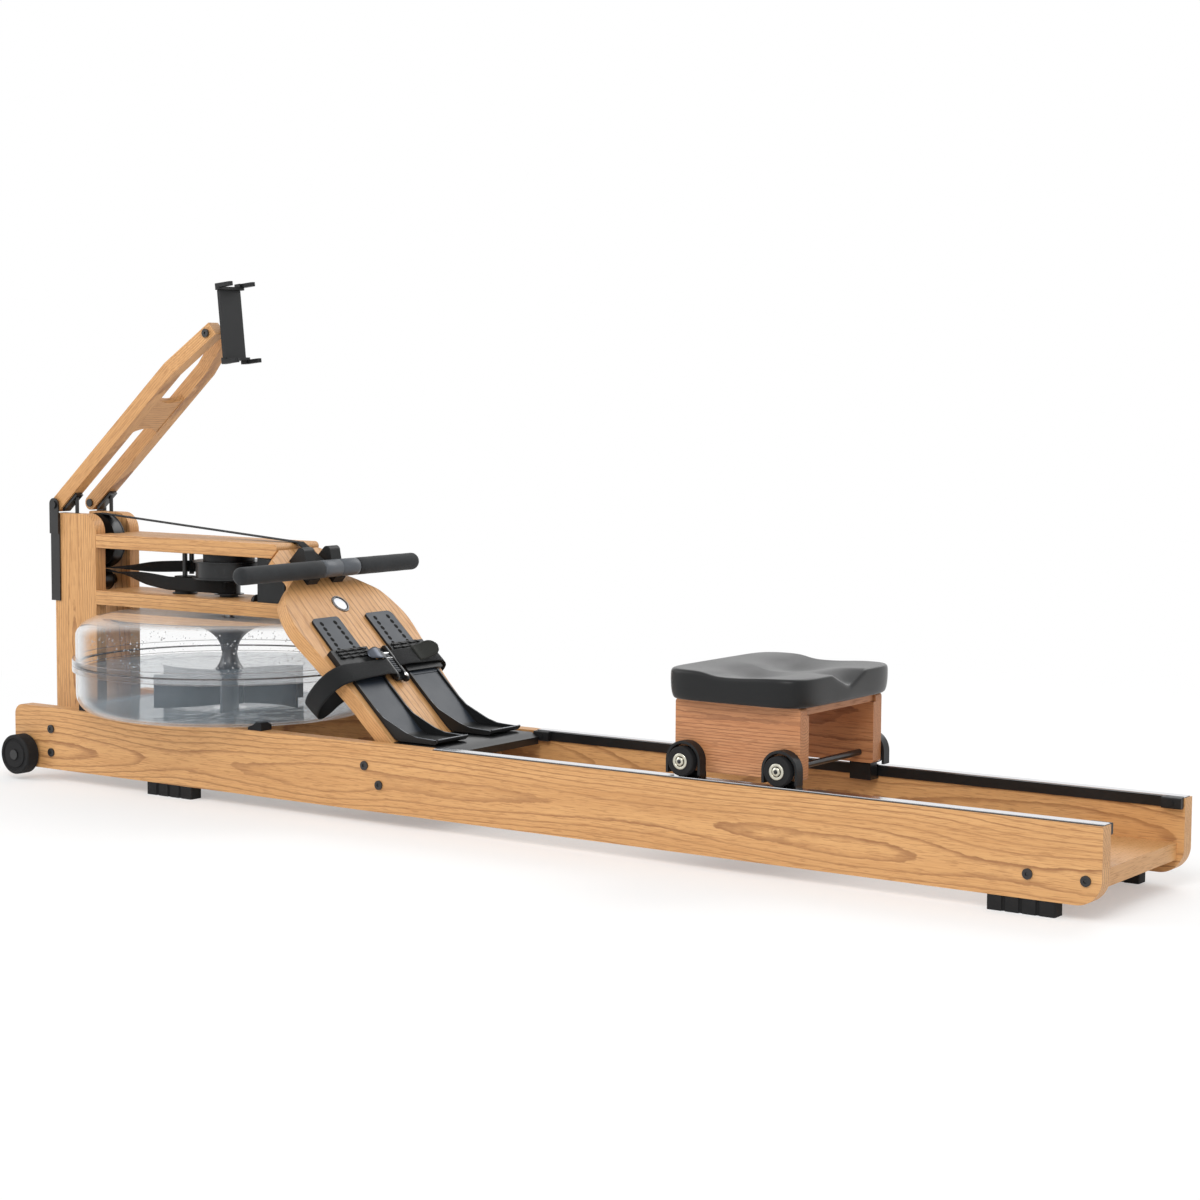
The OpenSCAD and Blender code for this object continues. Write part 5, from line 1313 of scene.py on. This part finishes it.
class ROWER_OT_hardware(Step, bpy.types.Operator):
    """Races and bolts on the seat wheels, treads on the transport wheels, painted highlights on the
    drum's edges
    """

    bl_idname = "rower.hardware"
    bl_label = "Small hardware"

    def build(self, c, s):
        self.seat_wheels(c)
        self.transport_wheels(c, s.tread)
        self.drum()

    def seat_wheels(self, c):
        """A pale bearing race in each wheel, with a socket-head bolt at its centre."""
        steel = metal("Bearing_race", shade(206, 203, 188), 0.28)
        black = moulded("Wheel_bolt", c.plastic, 0.3, 0.2, 0.2)
        race = [(0, 0.0122), (0.0046, 0.0122), (0.0052, 0.0116), (0.0052, 0.0084),
                (0.0046, 0.0078), (0.0, 0.0078)]
        nut = [(0.002, 0.0072), (0.0058, 0.0072), (0.0064, 0.0066), (0.0064, 0.0), (0.0064, 0.0)]
        shield = [(0.002, 0.0079), (0.0042, 0.0079), (0.0042, 0.0)]
        socket = [(0.0060, 0.0036), (0.00665, 0.0036), (0.00665, 0.0)]
        kinds = (("_races", steel, "steel", ((race, 48), (nut, 6))),
                 ("_bolts", black, "black_plastic", ((shield, 40), (socket, 6))))
        for place in ("front", "rear"):
            low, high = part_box(place + "_seat_wheels")
            x, z = (low.x + high.x) / 2, (low.z + high.z) / 2
            for kind, material, slot, shapes in kinds:
                parts = []
                for side, face in ((-1, low.y), (1, high.y)):
                    start = (x, face - side * 0.004, z)
                    for shape, steps in shapes:
                        parts.append(turned_piece("Part", shape, start, Y * side, steps))
                finish_piece(joined(place + kind, parts), material, slot, place + "_wheels")

    def transport_wheels(self, c, count):
        """A ribbed tread round each transport wheel."""
        low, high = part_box("transport_wheels")
        x, z, radius = (low.x + high.x) / 2, (low.z + high.z) / 2, (high.z - low.z) / 2
        tread = rubber("Tread_rubber", c.rubber)
        shape = box_piece("Rib", (-0.0009, -TREAD_HALF, -0.0006), (0.0009, TREAD_HALF, 0.0005))
        places = []
        for y in (low.y + TREAD_INSET, high.y - TREAD_INSET):
            for cosine, sine in circle(count):
                out, along = Vector((cosine, 0, sine)), Vector((-sine, 0, cosine))
                places.append((Vector((x, y, z)) + out * (radius - 0.0004), frame_of(along, out)))
        made = repeated("Transport_treads", shape, places, tread)
        finish_piece(made, tread, "black_rubber", "transport")

    def drum(self):
        """Painted highlights: slim lighter grey rings along the edges of the strap drum's flanges,
        where the light catches them.
        """
        low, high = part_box("strap_drum")
        x, radius = middle("strap_drum").x, (high.y - low.y) / 2
        edge_highlight = moulded("Polished_edge", shade(70, 71, 73), 0.18, 0.1, 0.5)
        rim = ((0.0006, 0.0012), (0.0004, 0.0001))
        levels = (low.z + 0.0008, high.z - 0.0008)
        rings = [edge_ring(radius, (x, 0, z), 96, *rim) for z in levels]
        finish_piece(joined("Drum_edges", rings), edge_highlight, "black_plastic", "drum")


# Tank

TANK_LOW, TANK_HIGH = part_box("tank_lower_shell")[0].z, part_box("tank_upper_shell")[1].z
TANK_RADIUS, TANK_WALL = 0.266, 0.004
FLOOR_ROUND, DOME_RISE, DOME_ROUND = 0.036, 0.033, 0.060
WATER_RADIUS, WATER_ROUND, WATER_RINGS = 0.2612, 0.0315, 26
CALM_RADIUS, CALM_WIDTH = 0.2605, 0.02
NECK, FUNNEL_START, FUNNEL_DROP, FUNNEL_FLARE = 0.0145, 0.013, 0.0508, 0.082
RIPPLE_HEIGHT, RIPPLES, SURFACE_ROUND = 0.0007, 26, 0.0006
DROP_SEED = 11


def tank_wall_radius(z):
    """Inner radius of the tank's shells at a height, in metres."""
    drop = TANK_LOW + FLOOR_ROUND - z
    rise = (z - (TANK_HIGH - DOME_RISE)) / DOME_RISE
    inner = TANK_RADIUS - TANK_WALL
    if drop > 0:
        return inner - FLOOR_ROUND + math.sqrt(max(0.0, FLOOR_ROUND**2 - drop**2))
    if rise > 0:
        return inner - DOME_ROUND + DOME_ROUND * math.sqrt(max(0.0, 1 - rise**2))
    return inner


class ROWER_OT_tank(Step, bpy.types.Operator):
    """Clear shells, the water with its ripples and the droplets above it"""

    bl_idname = "rower.tank"
    bl_label = "Tank"

    def build(self, c, s):
        # The shells carry the painted reflection on their outline
        shell = clear_plastic("Clear_shell", c.shell, 0.02, 0.92)
        for name in ("tank_lower_shell", "tank_upper_shell"):
            dress(name, shell)
        smoke = moulded("Impeller_plastic", shade(58, 64, 72), 0.3, 0.1, 0.3)
        dress("impeller", smoke)
        self.funnel(smoke)
        self.water(c)
        self.droplets(s)
        self.rims()

    def water(self, c):
        """The water's skin: a rippled face round the impeller's neck, the walls and the floor."""
        low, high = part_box("water")
        steps, floor = 160, low.z + WATER_ROUND
        radii = [NECK + (CALM_RADIUS - NECK) * k / WATER_RINGS for k in range(WATER_RINGS + 1)]
        rings = [(radius, high.z) for radius in radii]
        deep = high.z - low.z - FLOOR_ROUND
        rings += [(WATER_RADIUS, high.z - SURFACE_ROUND - deep * k / 5) for k in range(5)]
        for a in (math.pi / 2 * k / 8 for k in range(9)):
            radius = WATER_RADIUS - WATER_ROUND + WATER_ROUND * math.cos(a)
            rings.append((radius, floor - WATER_ROUND * math.sin(a)))
        rings.append((0.03, low.z))
        verts = []
        for i, (radius, z) in enumerate(rings):
            calm = min(1.0, (CALM_RADIUS - radius) / CALM_WIDTH) if i <= WATER_RINGS else 0.0
            for cosine, sine in circle(steps):
                x, y = radius * cosine, radius * sine
                ripple = noise.noise(Vector((x * RIPPLES, y * RIPPLES, 3.1)))
                verts.append((TANK.x + x, TANK.y + y, z + RIPPLE_HEIGHT * calm * ripple))
        made = piece("Tank_water", verts, bands(len(rings), steps))
        finish_piece(made, still_water("Water", c.water), "water", "frame", "water")

    def funnel(self, finish):
        """The trumpet that the upper shell sends down round the shaft to the impeller's neck."""
        waist = TANK_HIGH - FUNNEL_START - FUNNEL_DROP
        profile = []
        for a in (math.pi / 2 * k / 20 for k in range(21)):
            profile.append((FUNNEL_DROP * math.cos(a), NECK + FUNNEL_FLARE * (1 - math.sin(a))))
        shape = profile[::-1] + [(z - 0.0012, r - 0.0014) for z, r in profile]
        made = turned_piece("Tank_funnel", shape, (TANK.x, TANK.y, waist), Z, 96)
        finish_piece(made, finish, "grey_plastic", "frame")

    def droplets(self, s):
        """Drops that cling to the inside of the upper shell, thickest near the water."""
        low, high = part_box("tank_upper_shell")
        from_z, to_z = low.z + 0.012, high.z - 0.008
        drop = [(0, 0.0), (0.0, 0.0010), (0.00035, 0.00086), (0.0006, 0.0005), (0.0007, 0.0)]
        shape = turned_piece("Drop", drop, (0, 0, 0), Z, 10)
        places = []
        noise.seed_set(DROP_SEED)
        for _ in range(s.drops):
            a = noise.random() * 2 * math.pi
            height = from_z + (to_z - from_z) * noise.random() ** 1.5
            out = Vector((math.cos(a), math.sin(a), 0))
            place = Vector((TANK.x, TANK.y, height)) + out * (tank_wall_radius(height) - 0.0001)
            places.append((place, facing(-out)))
        # The droplets carry the same painted reflection, white towards their outline
        clear = clear_plastic("Droplets", shade(236, 240, 242), 0.3, 0.9, 0.1)
        scales = (s.drop * 1000, s.drop * 800, DROP_SEED)
        made = repeated("Tank_droplets", shape, places, clear, *scales)
        finish_piece(made, clear, "water", "frame")

    def rims(self):
        """Painted shade: dark translucent rings along the edges of the two flanges, for the dark
        lines that the clear flanges show there.
        """
        edge = clear_plastic("Flange_edges", shade(104, 96, 98), 0.6, 0.95, 0.1)
        low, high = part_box("tank_lower_shell")
        foot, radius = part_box("tank_upper_shell")[0].z, (high.y - low.y) / 2
        rim = ((0.0006, 0.001), (0.0003, 0.0002))
        levels = (high.z - 0.0095, high.z - 0.0004, foot + 0.0004, foot + 0.0095)
        rings = [edge_ring(radius, (TANK.x, TANK.y, z), 160, *rim) for z in levels]
        finish_piece(joined("Tank_flange_edges", rings), edge, "clear_shell", "frame")


# Stage and run

EYE = (2.4061, -3.2743, 0.7280)
YAW, PITCH, ROLL = 0.6077508, -0.087181, 0.0056120
LENS, SENSOR, SHIFT = 76.26, 36, (-0.00035, -0.0039)
LAMPS = (
    ("Key", (1.6, -3.4, 3.2), (0, 0, 0.3), 2.6, 95),
    ("Fill", (-3.2, -2.0, 2.2), (-0.3, 0, 0.4), 2.4, 38),
    ("Back", (0.4, 3.4, 3.0), (0, 0, 0.3), 2.8, 55),
)
FLOOR_HALF = 40
FLOOR_DARK, FLOOR_PALE = (0.955,) * 3, (0.97,) * 3
FADE_FROM, FADE_TO = 0.7, 2.4


def shown(tree):
    """One for the rays that show a thing itself, nought for the light that it gives."""
    rays = node(tree, "ShaderNodeLightPath").outputs
    most = rays["Is Camera Ray"]
    for kind in ("Is Glossy Ray", "Is Transmission Ray"):
        pair = [most, rays[kind]]
        most = node(tree, "ShaderNodeMath", {"operation": "MAXIMUM"}, pair).outputs[0]
    return most


class ROWER_OT_stage(Step, bpy.types.Operator):
    """Camera at the photograph's view, soft lamps, a pale world and a pale floor"""

    bl_idname = "rower.stage"
    bl_label = "Stage"

    def build(self, c, s):
        scene = bpy.context.scene
        scene.view_settings.view_transform = "Standard"
        scene.camera = self.camera()
        for name, place, aim, size, watts in LAMPS:
            made = linked(name, bpy.data.lights.new(name, "AREA"))
            made.data.shape, made.data.size, made.data.energy = "DISK", size, watts
            made.location = place
            made.rotation_euler = (Vector(aim) - Vector(place)).to_track_quat("-Z", "Y").to_euler()
        scene.world = self.world()
        self.floor()

    def camera(self):
        """The camera that took the photograph."""
        level = math.cos(PITCH)
        ahead = Vector((-math.sin(YAW) * level, math.cos(YAW) * level, math.sin(PITCH)))
        right = Vector((math.cos(YAW), math.sin(YAW), 0))
        up = right.cross(ahead)
        across = right * math.cos(ROLL) + up * math.sin(ROLL)
        upward = up * math.cos(ROLL) - right * math.sin(ROLL)
        made = linked("Camera", bpy.data.cameras.new("Camera"))
        turn = Matrix((across, upward, -ahead)).transposed().to_4x4()
        made.matrix_world = Matrix.Translation(EYE) @ turn
        made.data.sensor_width, made.data.lens = SENSOR, LENS
        made.data.shift_x, made.data.shift_y = SHIFT
        return made

    def world(self):
        """White where it is seen, and a level light on the object."""
        world = bpy.data.worlds.new("Studio")
        world.use_nodes = True
        tree = world.node_tree
        inputs = {"Value": shown(tree), "To Min": 0.62, "To Max": 1.0}
        level = node(tree, "ShaderNodeMapRange", None, inputs)
        back = tree.nodes["Background"]
        feed(tree, back.inputs["Strength"], level.outputs["Result"])
        feed(tree, back.inputs["Color"], (1, 1, 1, 1))
        return world

    def floor(self):
        """A pale floor that keeps the shadow and fades into the world's white."""
        low, high = -FLOOR_HALF, FLOOR_HALF
        corners = [(low, low, 0), (high, low, 0), (high, high, 0), (low, high, 0)]
        made = piece("Floor", corners, [(0, 1, 2, 3)], False)
        ground = Finish("Floor_paper", Roughness=0.9)
        point = ground.place()
        x, y, _ = ground.split(point)
        far = (x * x + y * y) ** 0.5
        paper = ground.cloud(point, 3.0, 2.0)
        ground.set("Base Color", ground.mix(paper, FLOOR_DARK, FLOOR_PALE))
        fade = far.between(FADE_FROM, FADE_TO, 0.3, 1.0) * Value(ground, shown(ground.tree))
        white = ground.node("ShaderNodeEmission")
        merge = ground.node("ShaderNodeMixShader")
        for socket, value in zip(merge.socket.node.inputs, (fade, ground.shader.outputs[0], white)):
            feed(ground.tree, socket, value)
        out = ground.tree.nodes["Material Output"]
        feed(ground.tree, out.inputs["Surface"], merge)
        made.data.materials.append(ground.material)


STEPS = (
    ROWER_OT_stage,
    ROWER_OT_boards,
    ROWER_OT_plain_parts,
    ROWER_OT_tank,
    ROWER_OT_cushion,
    ROWER_OT_handle,
    ROWER_OT_drive_straps,
    ROWER_OT_foot_rests,
    ROWER_OT_toe_straps,
    ROWER_OT_hardware,
)


class ROWER_PT_panel(bpy.types.Panel):
    """The machine's settings and the operators that dress it"""

    bl_label = "Water rowing machine"
    bl_idname = "ROWER_PT_panel"
    bl_space_type = "VIEW_3D"
    bl_region_type = "UI"
    bl_category = "Rower"

    def draw(self, context):
        for group in (context.scene.rower_colours, context.scene.rower_sizes):
            box = self.layout.box()
            for key in group.__annotations__:
                box.prop(group, key)
        for step in STEPS:
            self.layout.operator(step.bl_idname)


CLASSES = (RowerColours, RowerSizes, *STEPS, ROWER_PT_panel)


def register():
    """Registers the classes and hangs the settings on the scene."""
    for kind in CLASSES:
        bpy.utils.register_class(kind)
    bpy.types.Scene.rower_colours = PointerProperty(type=RowerColours)
    bpy.types.Scene.rower_sizes = PointerProperty(type=RowerSizes)


def unregister():
    """Takes the settings and the classes away again."""
    del bpy.types.Scene.rower_sizes
    del bpy.types.Scene.rower_colours
    for kind in reversed(CLASSES):
        bpy.utils.unregister_class(kind)


def main():
    """Registers the settings and operators, then dresses the part with each step in turn."""
    register()
    for step in STEPS:
        group, call = step.bl_idname.split(".")
        if "FINISHED" not in getattr(getattr(bpy.ops, group), call)():
            raise RuntimeError(f"{step.bl_idname} did not finish")


if __name__ == "__main__":
    main()
